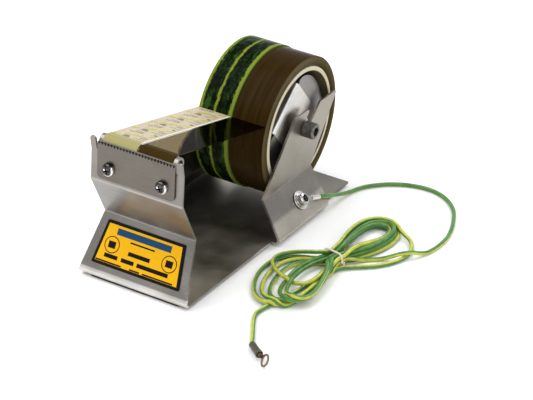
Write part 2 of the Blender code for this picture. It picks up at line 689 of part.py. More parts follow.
def ground_fixings(bright):
    flange = flange_matrix()
    bore = SCREW_R + GAP
    washer("ground_star_washer", flange, 0.0064, bore, GAP, GAP + 0.0008, bright)
    ring_tongue("near_ring_terminal", flange, 0.0052, bore, 0.0008, 0.0014, 0.0078, 0.0018, 0.0082, bright)
    seat = flange @ Matrix.Translation((0, 0, 0.0025))
    pan_screw("ground_screw", seat, 0.0042, 0.0030, SCREW_R, 0.0100, bright)
    hex_nut("ground_nut", flange, 0.0080, -SHEET - GAP - 0.0040, -SHEET - GAP, bore, bright)


def lead_start():
    """Where the cord leaves the near terminal's barrel, and the point just after it."""
    flange = flange_matrix()
    return [flange @ Vector((0.0163, 0, 0.0032)), flange @ Vector((0.0200, 0, 0.0034))]


def cord_tubes(green):
    spacing = 5 * CORD_R
    tube("ground_cord_lead", through(lead_start() + LEAD_ROUTE, spacing), CORD_R, green)
    tube("ground_cord_loop", through(LOOP_ROUTE, spacing), CORD_R, green)
    tube("ground_cord_tail", through(TAIL_ROUTE, spacing), CORD_R, green)


def hank(green, cream):
    outline = [tuple(point) for point in through([(*p, 0.0) for p in HANK_OUTLINE], 0.012, closed=True)]
    flat = [(u, v) for u, v, _ in outline]
    middle = Matrix.Translation((0, 0, HANK_LIFT + HANK_HIGH / 2))
    prism("ground_cord_hank", [flat], HANK_HIGH / 2, middle, green)
    left, right = Vector(TIE_LEFT), Vector(TIE_RIGHT)
    top = HANK_LIFT + HANK_HIGH + GAP + TIE_R
    across = (right - left).normalized() * 0.0010
    arch = [
        (left.x, left.y, TIE_R + 0.0002), (left.x, left.y, top - 0.0020),
        (*(left + across), top - 0.0006), (*(left + across * 2.5), top),
        (*((left + right) / 2), top), (*(right - across * 2.5), top),
        (*(right - across), top - 0.0006), (right.x, right.y, top - 0.0020),
        (right.x, right.y, TIE_R + 0.0002),
    ]
    tube("hank_tie", arch, TIE_R, cream)


def far_matrix():
    """Axes at the far ring's centre: X along the crimp to the cord, the ring tilted about it."""
    ring = Vector(FAR_RING)
    along = (Vector(SLEEVE_START) - ring).normalized()
    level = Vector((0, 0, 1)).cross(along).normalized()
    matrix = Matrix((along, level, along.cross(level))).transposed().to_4x4()
    return Matrix.Translation(ring) @ matrix @ Matrix.Rotation(-FAR_TILT, 4, "X")


def far_terminal(bronze, dark):
    at = far_matrix()
    ring_tongue("far_ring_terminal", at, 0.0042, 0.0030, 0.0008, -0.0004, 0.0056, 0.0015, 0.0060, bronze)
    length = (Vector(SLEEVE_START) - Vector(FAR_RING)).length
    lie = at @ Matrix.Translation((0, 0, 0.0011)) @ Matrix.Rotation(math.pi / 2, 4, "Y")
    bore = 0.0015 + GAP
    profile = [
        (SLEEVE_R - 0.0002, length), (SLEEVE_R, length - 0.0006), (SLEEVE_R, 0.0120),
        (SLEEVE_R + 0.0003, 0.0080), (SLEEVE_R, SLEEVE_END), (bore, SLEEVE_END), (bore, length),
    ]
    turned("far_terminal_sleeve", profile, lie, dark, 32)


def main():
    clear_scene()
    steel = material("stainless_sheet", (0.55, 0.53, 0.50), 0.32, 1.0)
    blade = material("blade_steel", (0.50, 0.49, 0.47), 0.30, 1.0)
    plated = material("plated_steel", (0.78, 0.76, 0.72), 0.18, 1.0)
    black = material("black_oxide", (0.16, 0.15, 0.14), 0.38, 1.0)
    hub = material("hub_aluminium", (0.72, 0.71, 0.69), 0.35, 1.0)
    nylon = material("nylon", (0.75, 0.73, 0.68), 0.45)
    paper = material("core_board", (0.80, 0.72, 0.52), 0.80)
    printed = material("printed_tape", (0.25, 0.33, 0.06), 0.25)
    clear = material("clear_tape", (0.10, 0.06, 0.02), 0.15)
    printed_web = material("printed_film", (0.78, 0.72, 0.52), 0.30)
    clear_web = material("clear_film", (0.50, 0.40, 0.25), 0.20)
    label = material("label_print", (0.90, 0.66, 0.04), 0.40)
    rubber = material("pad_rubber", (0.05, 0.05, 0.05), 0.85)
    green = material("cord_sleeve", (0.18, 0.36, 0.08), 0.45)
    cream = material("tie_paper", (0.80, 0.70, 0.55), 0.70)
    bronze = material("terminal_bronze", (0.50, 0.38, 0.24), 0.35, 1.0)
    shrink = material("shrink_sleeve", (0.10, 0.08, 0.06), 0.60)

    chassis(steel)
    base_pad(rubber)
    label_plate(label)
    cutter_blade(blade)
    blade_fixings(plated)
    axle_bolt(black)
    spindle_fittings(black, plated, nylon)
    hub_sleeve(hub)
    hub_plate("hub_plate_right", 1, hub)
    hub_plate("hub_plate_left", -1, hub)
    rolls(paper, printed, clear)
    webs(printed_web, clear_web)
    ground_fixings(plated)
    cord_tubes(green)
    hank(green, cream)
    far_terminal(bronze, shrink)


main()
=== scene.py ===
"""The tape dispenser's looks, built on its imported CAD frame: camera and light, the ground cord with
its hank, then each piece's own material and the printed graphics. Metres, +Z up."""

import math

import bpy
import numpy as np
from mathutils import Matrix, Vector

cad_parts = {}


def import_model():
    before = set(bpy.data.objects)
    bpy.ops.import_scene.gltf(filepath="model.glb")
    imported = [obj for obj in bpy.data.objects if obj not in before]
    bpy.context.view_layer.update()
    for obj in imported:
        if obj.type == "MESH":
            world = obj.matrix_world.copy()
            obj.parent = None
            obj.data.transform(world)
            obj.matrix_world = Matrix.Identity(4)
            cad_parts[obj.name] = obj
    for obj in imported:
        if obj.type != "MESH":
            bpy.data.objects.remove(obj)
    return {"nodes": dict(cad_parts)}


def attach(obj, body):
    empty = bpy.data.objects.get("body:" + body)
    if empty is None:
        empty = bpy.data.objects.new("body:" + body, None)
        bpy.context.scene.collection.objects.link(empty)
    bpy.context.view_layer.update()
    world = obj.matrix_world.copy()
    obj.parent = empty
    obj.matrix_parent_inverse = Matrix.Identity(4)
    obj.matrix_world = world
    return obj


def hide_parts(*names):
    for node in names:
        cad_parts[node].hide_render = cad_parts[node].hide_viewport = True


# Places shared with the CAD
FRONT_Y = -0.1015
BASE_Z = 0.0015
SHEET = 0.0015
BASE_TOP = BASE_Z + SHEET
PANEL_FOOT = (-0.0004, 0.00075)    # depth and height of the front panel's centreline at its foot
PANEL_CREASE = (0.0195, 0.0388)
AXLE = Vector((0.0, 0.0570, 0.0594))
CURL = (0.0060, 0.0955)            # depth and height of the tape rest's centre
CURL_RADIUS = 0.0043
CORE_INNER = 0.0381
PRINTED_R = 0.0488
PRINTED_SIDES = (-0.0252, -0.0004)
CLEAR_SIDES = (0.0004, 0.0252)
PEEL_ANGLE = math.radians(158.5)   # where the printed strip leaves its roll, about the spindle
WEB_THICK = 0.0003
GAP = 0.0003
SCREW_X, SCREW_Z = 0.0194, 0.0798
HEAD_R = 0.00425
GROUND_TOP = (0.0426, 0.0405, 0.0191)    # middle of the ground screw's crown
KNURL_R = 0.0055                         # the spindle bolt's head
HUB_TURN = math.radians(131.7)           # how the hub plates are turned about the spindle
HUB_WAIST = 0.0190                       # spindle to the crease of each folded lobe
HUB_HALF = 0.0260                        # half of a hub plate, from flange to flange

# Where a painted light or shade tone of the chassis sheet fades in, from none at the first number to all
# at the second:
# a depth, a height or a distance from the middle, in the object's own frame
BEHIND_PANELS = (FRONT_Y + 0.080, FRONT_Y + 0.085)
ARM_FOOT = (0.0265, 0.0295)
FLANGE_FACE = (0.0385, 0.0400)
BASE_FACE = (BASE_TOP + 0.0012, BASE_TOP + 0.0002)
BASE_SIDE = (0.0400, 0.0395)
REAR_STRIP = (FRONT_Y + 0.1690, FRONT_Y + 0.1720)
FOOT_TOP = (BASE_Z + 0.0062, BASE_Z + 0.0052)
FOOT_FRONT = (FRONT_Y + 0.0040, FRONT_Y + 0.0034)
LEFT_ARM_FACE = (-0.0270, -0.0285)
REST_WRAP = (FRONT_Y + 0.0118, FRONT_Y + 0.0098)    # where the film's darker tone round the tape rest fades in

# Bands across the front where painted light and shade of the sheet go: middle height, half height and
# soft edge
MIDDLE_PANEL = (BASE_Z + 0.0538, 0.0148, 0.0004)
KNEE = (BASE_Z + 0.0690, 0.0006, 0.0007)
CREASE = (BASE_Z + 0.0392, 0.0005, 0.0006)

# Painted light and shade of the chassis sheet: lit and shaded tones of one steel, one for each face
ARM_PAINTED_LIGHT = (0.345, 0.31, 0.265)
MIDDLE_PAINTED_LIGHT = (0.35, 0.335, 0.32)
FRONT_PAINTED_SHADE = (0.29, 0.27, 0.245)
FLANGE_PAINTED_LIGHT = (0.50, 0.465, 0.40)
BASE_PAINTED_LIGHT = (0.42, 0.39, 0.34)
REAR_PAINTED_SHADE = (0.20, 0.187, 0.160)
FOOT_PAINTED_HIGHLIGHT = (0.78, 0.75, 0.70)
INSIDE_PAINTED_SHADE = (0.035, 0.033, 0.030)
CREASE_PAINTED_HIGHLIGHT = (0.52, 0.49, 0.44)

# Other colours and finishes that several materials share
PLATING = (0.80, 0.78, 0.75)
# plating painted darker for the dark room that the screw heads mirror
PLATING_PAINTED_DARKER = (0.62, 0.60, 0.57)
BLACK_INK = (0.004, 0.004, 0.005)
ROLLING = (60, 900, 900)                 # a rolled sheet's streaks, per metre along each axis
INK_GLOSS, FILM_GLOSS, WOUND_GLOSS = 0.12, 0.10, 0.02    # Specular IOR Level
FILM_ALPHA, WRAP_ALPHA = 0.88, 0.97      # the printed strip on its own, and round the rest

# Rounding of the CAD's edges
SHEET_EDGE = 0.00025
SOFT_EDGE = 0.0002
SMALL_EDGE = 0.00015
THIN_EDGE = 0.0001
WELD_REACH = 0.00001
BEVEL_FROM = math.radians(30)

# The label, across and up the front panel, and the layers printed on it
LABEL_LOW, LABEL_HIGH = 0.0092, 0.0381
LOW_HALF, HIGH_HALF = 0.0326, 0.0286
LABEL_FACE = GAP + 0.0004
INK_LAYER = 0.00004
TITLE = (0.0, 0.0324, 0.0400, 0.0042)    # a bar: middle across and up, length and height
PLAIN_BARS = [(0.0, 0.0281, 0.0180, 0.0010), (-0.0005, 0.0212, 0.0160, 0.0026)]
WORD_BARS = [(-0.0199, 0.0098), (-0.0075, 0.0094), (0.0110, 0.0230)]     # middle across, length
WORDS_UP, WORDS_HIGH = 0.0160, 0.0026
SMALL_BARS = [(-0.0205, 0.0190), (-0.0010, 0.0076), (0.0160, 0.0224)]
SMALL_UP, SMALL_HIGH = 0.0119, 0.0010
MARK_U, MARK_V = 0.0212, 0.0233          # the two round marks
MARK_R, MARK_FIELD_R = 0.0055, 0.0049
MARK_BLOCK = (0.0052, 0.0044)
EDGE_MARGIN, FIELD_MARGIN = 0.0002, 0.0020

# The printed strip, along it from the tape rest
CELLS = 5
FIRST_CELL, CELL_LONG = 0.004, 0.0215
PRINT_END = 0.1080
EDGE_HIGHLIGHT = (-0.0015, -0.0005)              # across, a painted highlight along the strip's right edge
PRINT_LIFTS = (0.00005, 0.00008, 0.00010)    # the lime, the dark marks and the painted edge highlight over the film

# Ground cord
CORD_R = 0.0014
TURNS = 5
TIE_FLOOR = 0.0025
STIFF_BELOW = 0.0085                  # bends tighter than this radius straighten faster
LEAD_LONG, TAIL_LONG = 0.26, 0.045    # stretches that keep the CAD's own route
TURN_SHARES = (0.0, 0.25, 0.5, 0.8, 1.0)
FRONT_LOW, REAR_LOW, TURN_RISE = 0.0044, 0.0016, 0.0014    # the lowest turn, and each next one
CORD_STEP = 0.0020
CORD_SIDES = 12
CORD_TWIST = 5.0
EXIT = (0.0438, 0.0560, 0.0137)
TIE_HALF_LONG, TIE_HALF_WIDE = 0.0050, 0.0085    # the part of the bundle that the tie grips
TIE_R = 0.00075

# How the strands settle: which are near enough to push, and by how much each point moves a round
REACH = 2.05 * CORD_R
LOOK_BEYOND, STEPS_APART, LOOK_EVERY = 0.002, 8, 10
SMALL_BEND, TIGHT_BEND, WIDE_BEND = 0.25, 0.25, 0.12    # shares of the way to a smoother line
SETTLE_ROUNDS, SINKING_ROUNDS = 300, 210
SINK = 0.00006
GRIPPED_PULL, LOOSE_PULL = 0.35, 0.10
PUSH_SHARE, PUSH_AXES, LONGEST_PUSH = 0.35, (1.0, 1.0, 2.4), 0.0010

LEAD_ROUTE = [
    (0.0447, 0.0595, 0.0129),
    (0.0452, 0.0620, 0.0121), (0.0457, 0.0690, 0.0096), (0.0460, 0.0770, 0.0066),
    (0.0464, 0.0860, 0.0037), (0.0475, 0.0950, 0.0018), (0.0503, 0.1045, 0.0014),
    (0.0565, 0.1135, 0.0014), (0.0651, 0.1214, 0.0014), (0.0760, 0.1272, 0.0014),
    (0.0880, 0.1294, 0.0014), (0.0989, 0.1272, 0.0014), (0.1085, 0.1210, 0.0014),
    (0.1162, 0.1122, 0.0014), (0.1220, 0.1010, 0.0014), (0.1267, 0.0890, 0.0014),
    (0.1298, 0.0755, 0.0014), (0.1300, 0.0620, 0.0014), (0.1284, 0.0525, 0.0014),
    (0.1256, 0.0458, 0.0028), (0.1224, 0.0407, 0.0046), (0.1190, 0.0365, 0.0049),
    (0.1152, 0.0328, 0.0040), (0.1110, 0.0293, 0.0024), (0.1070, 0.0259, 0.0015),
    (0.1033, 0.0227, 0.0014), (0.0996, 0.0190, 0.0014),
]
LOOP_ROUTE = [
    (0.1058, 0.0603, 0.0015), (0.1103, 0.0600, 0.0014), (0.1150, 0.0565, 0.0014),
    (0.1186, 0.0500, 0.0014), (0.1201, 0.0417, 0.0014), (0.1198, 0.0355, 0.0014),
    (0.1179, 0.0294, 0.0014), (0.1150, 0.0235, 0.0014), (0.1110, 0.0178, 0.0014),
    (0.1064, 0.0130, 0.0014), (0.1018, 0.0092, 0.0014), (0.0975, 0.0058, 0.0014),
]
TAIL_ROUTE = [
    (0.0778, -0.0688, 0.0014), (0.0768, -0.0735, 0.0014), (0.0772, -0.0790, 0.0014),
    (0.0794, -0.0850, 0.0014), (0.0826, -0.0912, 0.0014), (0.0862, -0.0975, 0.0015),
    (0.0903, -0.1048, 0.0019), (0.0930, -0.1100, 0.0025), (0.0951, -0.1134, 0.0030),
    (0.0960, -0.1143, 0.0031),
]
TIE = Vector((0.0853, 0.0034, 0.0))
NECK = Vector((0.19, 0.98, 0.0)).normalized()    # the bundle's direction through the tie
ACROSS = Vector((NECK.y, -NECK.x, 0.0))          # across it, towards the lead's side
PITCH = 2.08 * CORD_R                            # from strand to strand in the tie
ROW_SHARE = 0.95                                 # a row's height, as a share of the pitch
NECK_RUN = 0.0060                                # from the tie to where the strands part
LEAN = Vector((-0.0045, 0.0028, 0.0))            # how far the outermost turn parts sideways

# Each strand's column and row in the tie, in the order in which the cord passes through it
LEAD_SLOT = (4, 1)
TURN_SLOTS = [(0, 0), (3, 0), (1, 0), (3, 1), (2, 0), (3, 2), (0, 1), (2, 1), (1, 1), (4, 2)]
SLANT_SLOT = (0.5, 2)
SLANT_LEAN, SLANT_SHARE, SLANT_HIGH = 0.9, 0.15, 0.0085

# Each lobe of the hank: its outermost and its innermost turn, from the tie and back to it
FRONT_OUTER = [
    (0.0900, -0.0200), (0.0905, -0.0340), (0.0895, -0.0480), (0.0862, -0.0600), (0.0795, -0.0665),
    (0.0715, -0.0668), (0.0632, -0.0590), (0.0562, -0.0465), (0.0515, -0.0310), (0.0520, -0.0140),
    (0.0610, -0.0025),
]
FRONT_INNER = [
    (0.0925, -0.0150), (0.0952, -0.0280), (0.0976, -0.0390), (0.0987, -0.0480), (0.0970, -0.0560),
    (0.0908, -0.0603), (0.0845, -0.0572), (0.0802, -0.0470), (0.0768, -0.0330), (0.0752, -0.0190),
    (0.0772, -0.0070),
]
REAR_OUTER = [
    (0.0805, 0.0190), (0.0768, 0.0330), (0.0750, 0.0480), (0.0762, 0.0610), (0.0815, 0.0705),
    (0.0895, 0.0740), (0.0975, 0.0695), (0.1032, 0.0590), (0.1042, 0.0460), (0.1015, 0.0330),
    (0.0965, 0.0210),
]
REAR_INNER = [
    (0.0845, 0.0190), (0.0820, 0.0320), (0.0812, 0.0440), (0.0815, 0.0560), (0.0845, 0.0625),
    (0.0903, 0.0648), (0.0960, 0.0620), (0.0988, 0.0550), (0.0990, 0.0430), (0.0970, 0.0310),
    (0.0930, 0.0200),
]
# From the last rear fold down to the free loop, and from the loop under the turns to the tail
REAR_TO_LOOP = [
    (0.0835, 0.0700, 0.0070), (0.0905, 0.0718, 0.0052), (0.0972, 0.0672, 0.0034),
]
UNDER_FRONT = [
    (0.0928, 0.0015, 0.0021), (0.0897, -0.0060, 0.0018), (0.0872, -0.0160, 0.0014),
    (0.0856, -0.0290, 0.0014), (0.0838, -0.0420, 0.0014), (0.0812, -0.0540, 0.0014),
    (0.0790, -0.0635, 0.0014),
]
# The strand that lies slantwise over the front lobe, from the tie and back to it
SLANT = [
    (0.0905, -0.0180, 0.0085), (0.0915, -0.0300, 0.0088), (0.0870, -0.0370, 0.0092),
    (0.0780, -0.0370, 0.0094), (0.0670, -0.0330, 0.0086), (0.0580, -0.0270, 0.0070),
    (0.0525, -0.0200, 0.0060), (0.0530, -0.0120, 0.0056), (0.0585, -0.0060, 0.0058),
    (0.0650, -0.0020, 0.0064), (0.0730, 0.0000, 0.0076),
]


# Camera, floor and light

def camera():
    data = bpy.data.cameras.new("camera")
    data.sensor_width = 36.0
    data.lens = 175.6
    data.clip_start = 0.05
    data.clip_end = 50.0
    cam = bpy.data.objects.new("camera", data)
    right = Vector((0.8571, 0.5126, 0.0516)).normalized()
    back = Vector((0.4298, -0.7667, 0.4769)).normalized()
    up = back.cross(right).normalized()
    turn = Matrix((up.cross(back), up, back)).transposed().to_4x4()
    cam.matrix_world = Matrix.Translation((0.7532, -1.2800, 0.8293)) @ turn
    bpy.context.scene.collection.objects.link(cam)
    bpy.context.scene.camera = cam


def area_light(name, at, target, size, power, size_y=None):
    data = bpy.data.lights.new(name, "AREA")
    data.energy = power
    data.size = size
    if size_y:
        data.shape = "RECTANGLE"
        data.size_y = size_y
    lamp = bpy.data.objects.new(name, data)
    lamp.location = at
    lamp.rotation_euler = (Vector(target) - Vector(at)).to_track_quat("-Z", "Y").to_euler()
    bpy.context.scene.collection.objects.link(lamp)


def studio():
    bpy.context.scene.view_settings.view_transform = "Standard"
    world = bpy.data.worlds.new("studio")
    bpy.context.scene.world = world
    world.use_nodes = True
    background = world.node_tree.nodes["Background"]
    background.inputs["Color"].default_value = (0.95, 0.96, 0.98, 1)
    background.inputs["Strength"].default_value = 0.78
    half = 4.0
    mesh = bpy.data.meshes.new("floor")
    corners = [(-half, -half, 0), (half, -half, 0), (half, half, 0), (-half, half, 0)]
    mesh.from_pydata(corners, [], [(0, 1, 2, 3)])
    floor = bpy.data.objects.new("floor", mesh)
    floor.location.z = -0.0001
    bpy.context.scene.collection.objects.link(floor)
    mesh.materials.append(Shader("floor_pale", (0.95, 0.95, 0.95), 0.9).material)
    middle = (0.02, 0.0, 0.05)
    area_light("key", (-0.8, -0.5, 1.5), middle, 1.5, 20)
    area_light("fill", (1.3, -0.7, 0.9), middle, 0.8, 5)
    area_light("back_strip", (0.1, 0.9, 1.1), middle, 1.1, 6, size_y=0.35)


# Materials

class Shader:
    """A Principled material with short helpers for procedural inputs. Its first colour, roughness
    and metallic stand wherever no node tree drives them."""

    def __init__(self, name, colour, roughness=0.5, metallic=0.0):
        self.material = bpy.data.materials.new(name)
        self.material.use_nodes = True
        self.nodes = self.material.node_tree.nodes
        self.links = self.material.node_tree.links
        self.principled = self.nodes["Principled BSDF"]
        self.set("Base Color", colour)
        self.set("Roughness", roughness)
        self.set("Metallic", metallic)

    def put(self, socket, value):
        if isinstance(value, bpy.types.NodeSocket):
            self.links.new(value, socket)
        elif isinstance(value, tuple) and len(socket.default_value) == 4:
            socket.default_value = (*value, 1)
        else:
            socket.default_value = value

    def set(self, name, value):
        self.put(self.principled.inputs[name], value)
        return self

    def vector(self, output="Object", scale=(1, 1, 1), move=(0, 0, 0), turn=(0, 0, 0)):
        coordinate = self.nodes.new("ShaderNodeTexCoord")
        mapping = self.nodes.new("ShaderNodeMapping")
        self.links.new(coordinate.outputs[output], mapping.inputs["Vector"])
        self.put(mapping.inputs["Location"], move)
        self.put(mapping.inputs["Rotation"], turn)
        self.put(mapping.inputs["Scale"], scale)
        return mapping.outputs["Vector"]

    def noise(self, vector, scale, detail=3.0, roughness=0.5, distortion=0.0):
        node = self.nodes.new("ShaderNodeTexNoise")
        self.put(node.inputs["Vector"], vector)
        self.put(node.inputs["Scale"], scale)
        self.put(node.inputs["Detail"], detail)
        self.put(node.inputs["Roughness"], roughness)
        self.put(node.inputs["Distortion"], distortion)
        return node.outputs["Fac"]

    def math(self, operation, a, b=0.0):
        node = self.nodes.new("ShaderNodeMath")
        node.operation = operation
        self.put(node.inputs[0], a)
        self.put(node.inputs[1], b)
        return node.outputs[0]

    def plus(self, a, b):
        return self.math("ADD", a, b)

    def minus(self, a, b):
        return self.math("SUBTRACT", a, b)

    def times(self, a, b):
        return self.math("MULTIPLY", a, b)

    def largest(self, a, b):
        return self.math("MAXIMUM", a, b)

    def squares(self, a, b):
        """The squares of two values, added."""
        return self.plus(self.times(a, a), self.times(b, b))

    def remap(self, value, low, high, to_low=0.0, to_high=1.0):
        node = self.nodes.new("ShaderNodeMapRange")
        node.clamp = True
        self.put(node.inputs["Value"], value)
        self.put(node.inputs["From Min"], low)
        self.put(node.inputs["From Max"], high)
        self.put(node.inputs["To Min"], to_low)
        self.put(node.inputs["To Max"], to_high)
        return node.outputs["Result"]

    def mix(self, factor, a, b):
        node = self.nodes.new("ShaderNodeMix")
        node.data_type = "RGBA"
        self.put(node.inputs[0], factor)
        self.put(node.inputs[6], a)
        self.put(node.inputs[7], b)
        return node.outputs[2]

    def mottle(self, noise, low_colour, high_colour, low=0.35, high=0.7):
        """Between two colours, by a noise."""
        return self.mix(self.remap(noise, low, high), low_colour, high_colour)

    def scaled(self, colour, share):
        """A colour times a grey value."""
        node = self.nodes.new("ShaderNodeVectorMath")
        node.operation = "SCALE"
        self.put(node.inputs[0], colour)
        self.put(node.inputs["Scale"], share)
        return node.outputs[0]

    def axis(self, vector, letter):
        node = self.nodes.new("ShaderNodeSeparateXYZ")
        self.links.new(vector, node.inputs[0])
        return node.outputs["XYZ".index(letter)]

    def axes(self, vector):
        return [self.axis(vector, letter) for letter in "XYZ"]

    def combine(self, x, y, z=0.0):
        node = self.nodes.new("ShaderNodeCombineXYZ")
        for socket, value in zip(node.inputs, (x, y, z)):
            self.put(socket, value)
        return node.outputs[0]

    def far_from(self, point):
        """Distance in metres from a fixed point."""
        node = self.nodes.new("ShaderNodeVectorMath")
        node.operation = "DISTANCE"
        self.put(node.inputs[0], self.vector())
        self.put(node.inputs[1], point)
        return node.outputs["Value"]

    def bump(self, height, strength, distance):
        node = self.nodes.new("ShaderNodeBump")
        self.put(node.inputs["Strength"], strength)
        self.put(node.inputs["Distance"], distance)
        self.links.new(height, node.inputs["Height"])
        return self.set("Normal", node.outputs["Normal"])

    def band(self, value, middle, half, soft):
        """1 within half of the middle and 0 outside, with a soft edge."""
        away = self.math("ABSOLUTE", self.minus(value, middle))
        return self.remap(away, half + soft, half - soft)

    def facing(self, letter):
        """How far the surface faces along one of the object's own axes, from -1 to 1."""
        coordinate = self.nodes.new("ShaderNodeTexCoord")
        return self.axis(coordinate.outputs["Normal"], letter)

    def about_axle(self):
        """Distance from the spindle's axis in metres, the angle about it in radians, and X."""
        x, y, z = self.axes(self.vector(move=(0, -AXLE.y, -AXLE.z)))
        return self.math("SQRT", self.squares(y, z)), self.math("ARCTAN2", z, y), x


def tinted(colour, share):
    return tuple(min(1.0, c * share) for c in colour)


def worn_sheet(made, colour, rough, streaks):
    """Adds a bare sheet's fine rolling streaks, faint blotches and a few scuffs to its colour."""
    grain = made.noise(made.vector(scale=streaks), 1.0, 4.0, 0.6)
    cloud = made.noise(made.vector(), 38.0, 4.0, 0.6)
    scuff = made.noise(made.vector(turn=(0.3, 0.2, 0.7)), 220.0, 5.0, 0.7)
    blotch = made.remap(cloud, 0.35, 0.68, 0.80, 1.0)
    share = made.plus(blotch, made.remap(grain, 0.3, 0.7, -0.04, 0.08))
    share = made.plus(share, made.remap(scuff, 0.62, 0.74, 0.0, 0.20))
    made.set("Base Color", made.scaled(colour, share))
    made.set("Roughness", made.remap(cloud, 0.3, 0.7, rough - 0.06, rough + 0.10))
    made.bump(grain, 0.12, 0.00004)
    return made.material


def blade_sheet(name):
    colour, rough = (0.178, 0.158, 0.136), 0.30
    return worn_sheet(Shader(name, colour, rough, 1.0), colour, rough, ROLLING)


def screw_head(name):
    """Bright plating with the reflection of a dark room painted in: painted dark over the domed head,
    with a painted highlight and a painted bright lower rim.
    """
    made = Shader(name, PLATING_PAINTED_DARKER, 0.16, 1.0)
    vector = made.vector()
    x, _, z = made.axes(vector)
    right_side = made.math("GREATER_THAN", x, 0.0)
    middle = made.times(made.minus(right_side, 0.5), 2 * SCREW_X)
    off = made.math("DIVIDE", made.minus(x, middle), HEAD_R)
    up = made.math("DIVIDE", made.minus(z, BASE_Z + SCREW_Z), HEAD_R)
    # Painted reflection: a painted bright rim round the lower right of the head and a painted highlight
    # up and left of its middle, over painted dark
    near_edge = made.remap(made.math("SQRT", made.squares(off, up)), 0.72, 0.84)
    lower_right = made.minus(made.times(off, 0.7), made.times(up, 0.7))
    rim = made.times(near_edge, made.remap(lower_right, -0.10, 0.25))
    painted_glint = made.remap(made.squares(made.plus(off, 0.32), made.minus(up, 0.10)), 0.060, 0.020)
    smear = made.noise(vector, 520.0, 3.0, 0.6)
    painted_dark_head = made.mottle(smear, (0.035, 0.032, 0.030), (0.16, 0.15, 0.14), 0.42)
    made.set("Base Color", made.mix(made.largest(rim, painted_glint), painted_dark_head, (0.82, 0.80, 0.76)))
    made.set("Roughness", made.remap(smear, 0.35, 0.7, 0.12, 0.26))
    return made.material


def ground_head(name):
    """Bright plating with a painted dark ring on its dished crown for the dark it mirrors; its middle
    stays bright, a highlight.
    """
    made = Shader(name, PLATING_PAINTED_DARKER, 0.2, 1.0)
    smear = made.noise(made.vector(), 520.0, 3.0, 0.6)
    plating = made.mottle(smear, (0.42, 0.40, 0.38), PLATING)
    # Painted reflection: a dark ring painted round the middle of the crown
    painted_dark_ring = made.band(made.far_from(GROUND_TOP), 0.0018, 0.0008, 0.0003)
    made.set("Base Color", made.mix(painted_dark_ring, plating, (0.02, 0.018, 0.016)))
    return made.material


def chassis_painted_light(made):
    """The bent sheet's painted light and shade by face, lit and shaded tones of one steel: painted
    lighter on the flanges and painted highlights at the bends and the foot, painted shade at the rear
    and inside the left arm."""
    x, y, z = made.axes(made.vector())
    aside = made.math("ABSOLUTE", x)
    behind = made.remap(y, *BEHIND_PANELS)
    ahead = made.minus(1.0, behind)
    arm = made.times(made.remap(z, *ARM_FOOT), behind)
    off_arm = made.minus(1.0, arm)
    base = made.times(made.remap(z, *BASE_FACE), made.remap(aside, *BASE_SIDE))
    flange = made.times(made.times(made.remap(aside, *FLANGE_FACE), behind), off_arm)
    rear = made.times(made.remap(y, *REAR_STRIP), off_arm)
    middle = made.times(made.band(z, *MIDDLE_PANEL), ahead)
    bends = made.times(made.largest(made.band(z, *KNEE), made.band(z, *CREASE)), ahead)
    foot = made.times(made.remap(z, *FOOT_TOP), made.remap(y, *FOOT_FRONT))
    inside = made.times(made.remap(x, *LEFT_ARM_FACE), made.remap(made.facing("X"), 0.2, 0.6))
    inside = made.times(inside, behind)
    # Painted light and shade: one steel, given a lit or shaded tone for each face
    tone = made.mix(arm, FRONT_PAINTED_SHADE, ARM_PAINTED_LIGHT)
    for share, colour in (
        (base, BASE_PAINTED_LIGHT), (flange, FLANGE_PAINTED_LIGHT), (rear, REAR_PAINTED_SHADE), (middle, MIDDLE_PAINTED_LIGHT),
        (bends, CREASE_PAINTED_HIGHLIGHT), (foot, FOOT_PAINTED_HIGHLIGHT), (inside, INSIDE_PAINTED_SHADE),
    ):
        tone = made.mix(share, tone, colour)
    return tone


def chassis_sheet(name):
    rough = 0.34
    made = Shader(name, ARM_PAINTED_LIGHT, rough, 1.0)
    return worn_sheet(made, chassis_painted_light(made), rough, ROLLING)


def bright_metal(name, colour, rough):
    made = Shader(name, colour, rough, 1.0)
    cloud = made.noise(made.vector(), 320.0, 4.0, 0.6)
    made.set("Roughness", made.remap(cloud, 0.3, 0.7, rough * 0.7, rough * 1.5))
    made.set("Base Color", made.mottle(cloud, colour, tinted(colour, 0.72), high=0.8))
    return made.material


def black_oxide(name):
    """Blackened steel with a knurl about the spindle."""
    made = Shader(name, (0.10, 0.095, 0.09), 0.36, 0.9)
    far, angle, _ = made.about_axle()
    ridges = made.math("SINE", made.times(angle, 44.0))
    side = made.band(far, KNURL_R, 0.00035, 0.0001)
    cloud = made.noise(made.vector(), 400.0, 4.0, 0.6)
    made.set("Base Color", made.mottle(cloud, (0.115, 0.108, 0.10), (0.27, 0.25, 0.225), 0.45, 0.75))
    made.bump(made.times(ridges, side), 0.7, 0.00018)
    return made.material


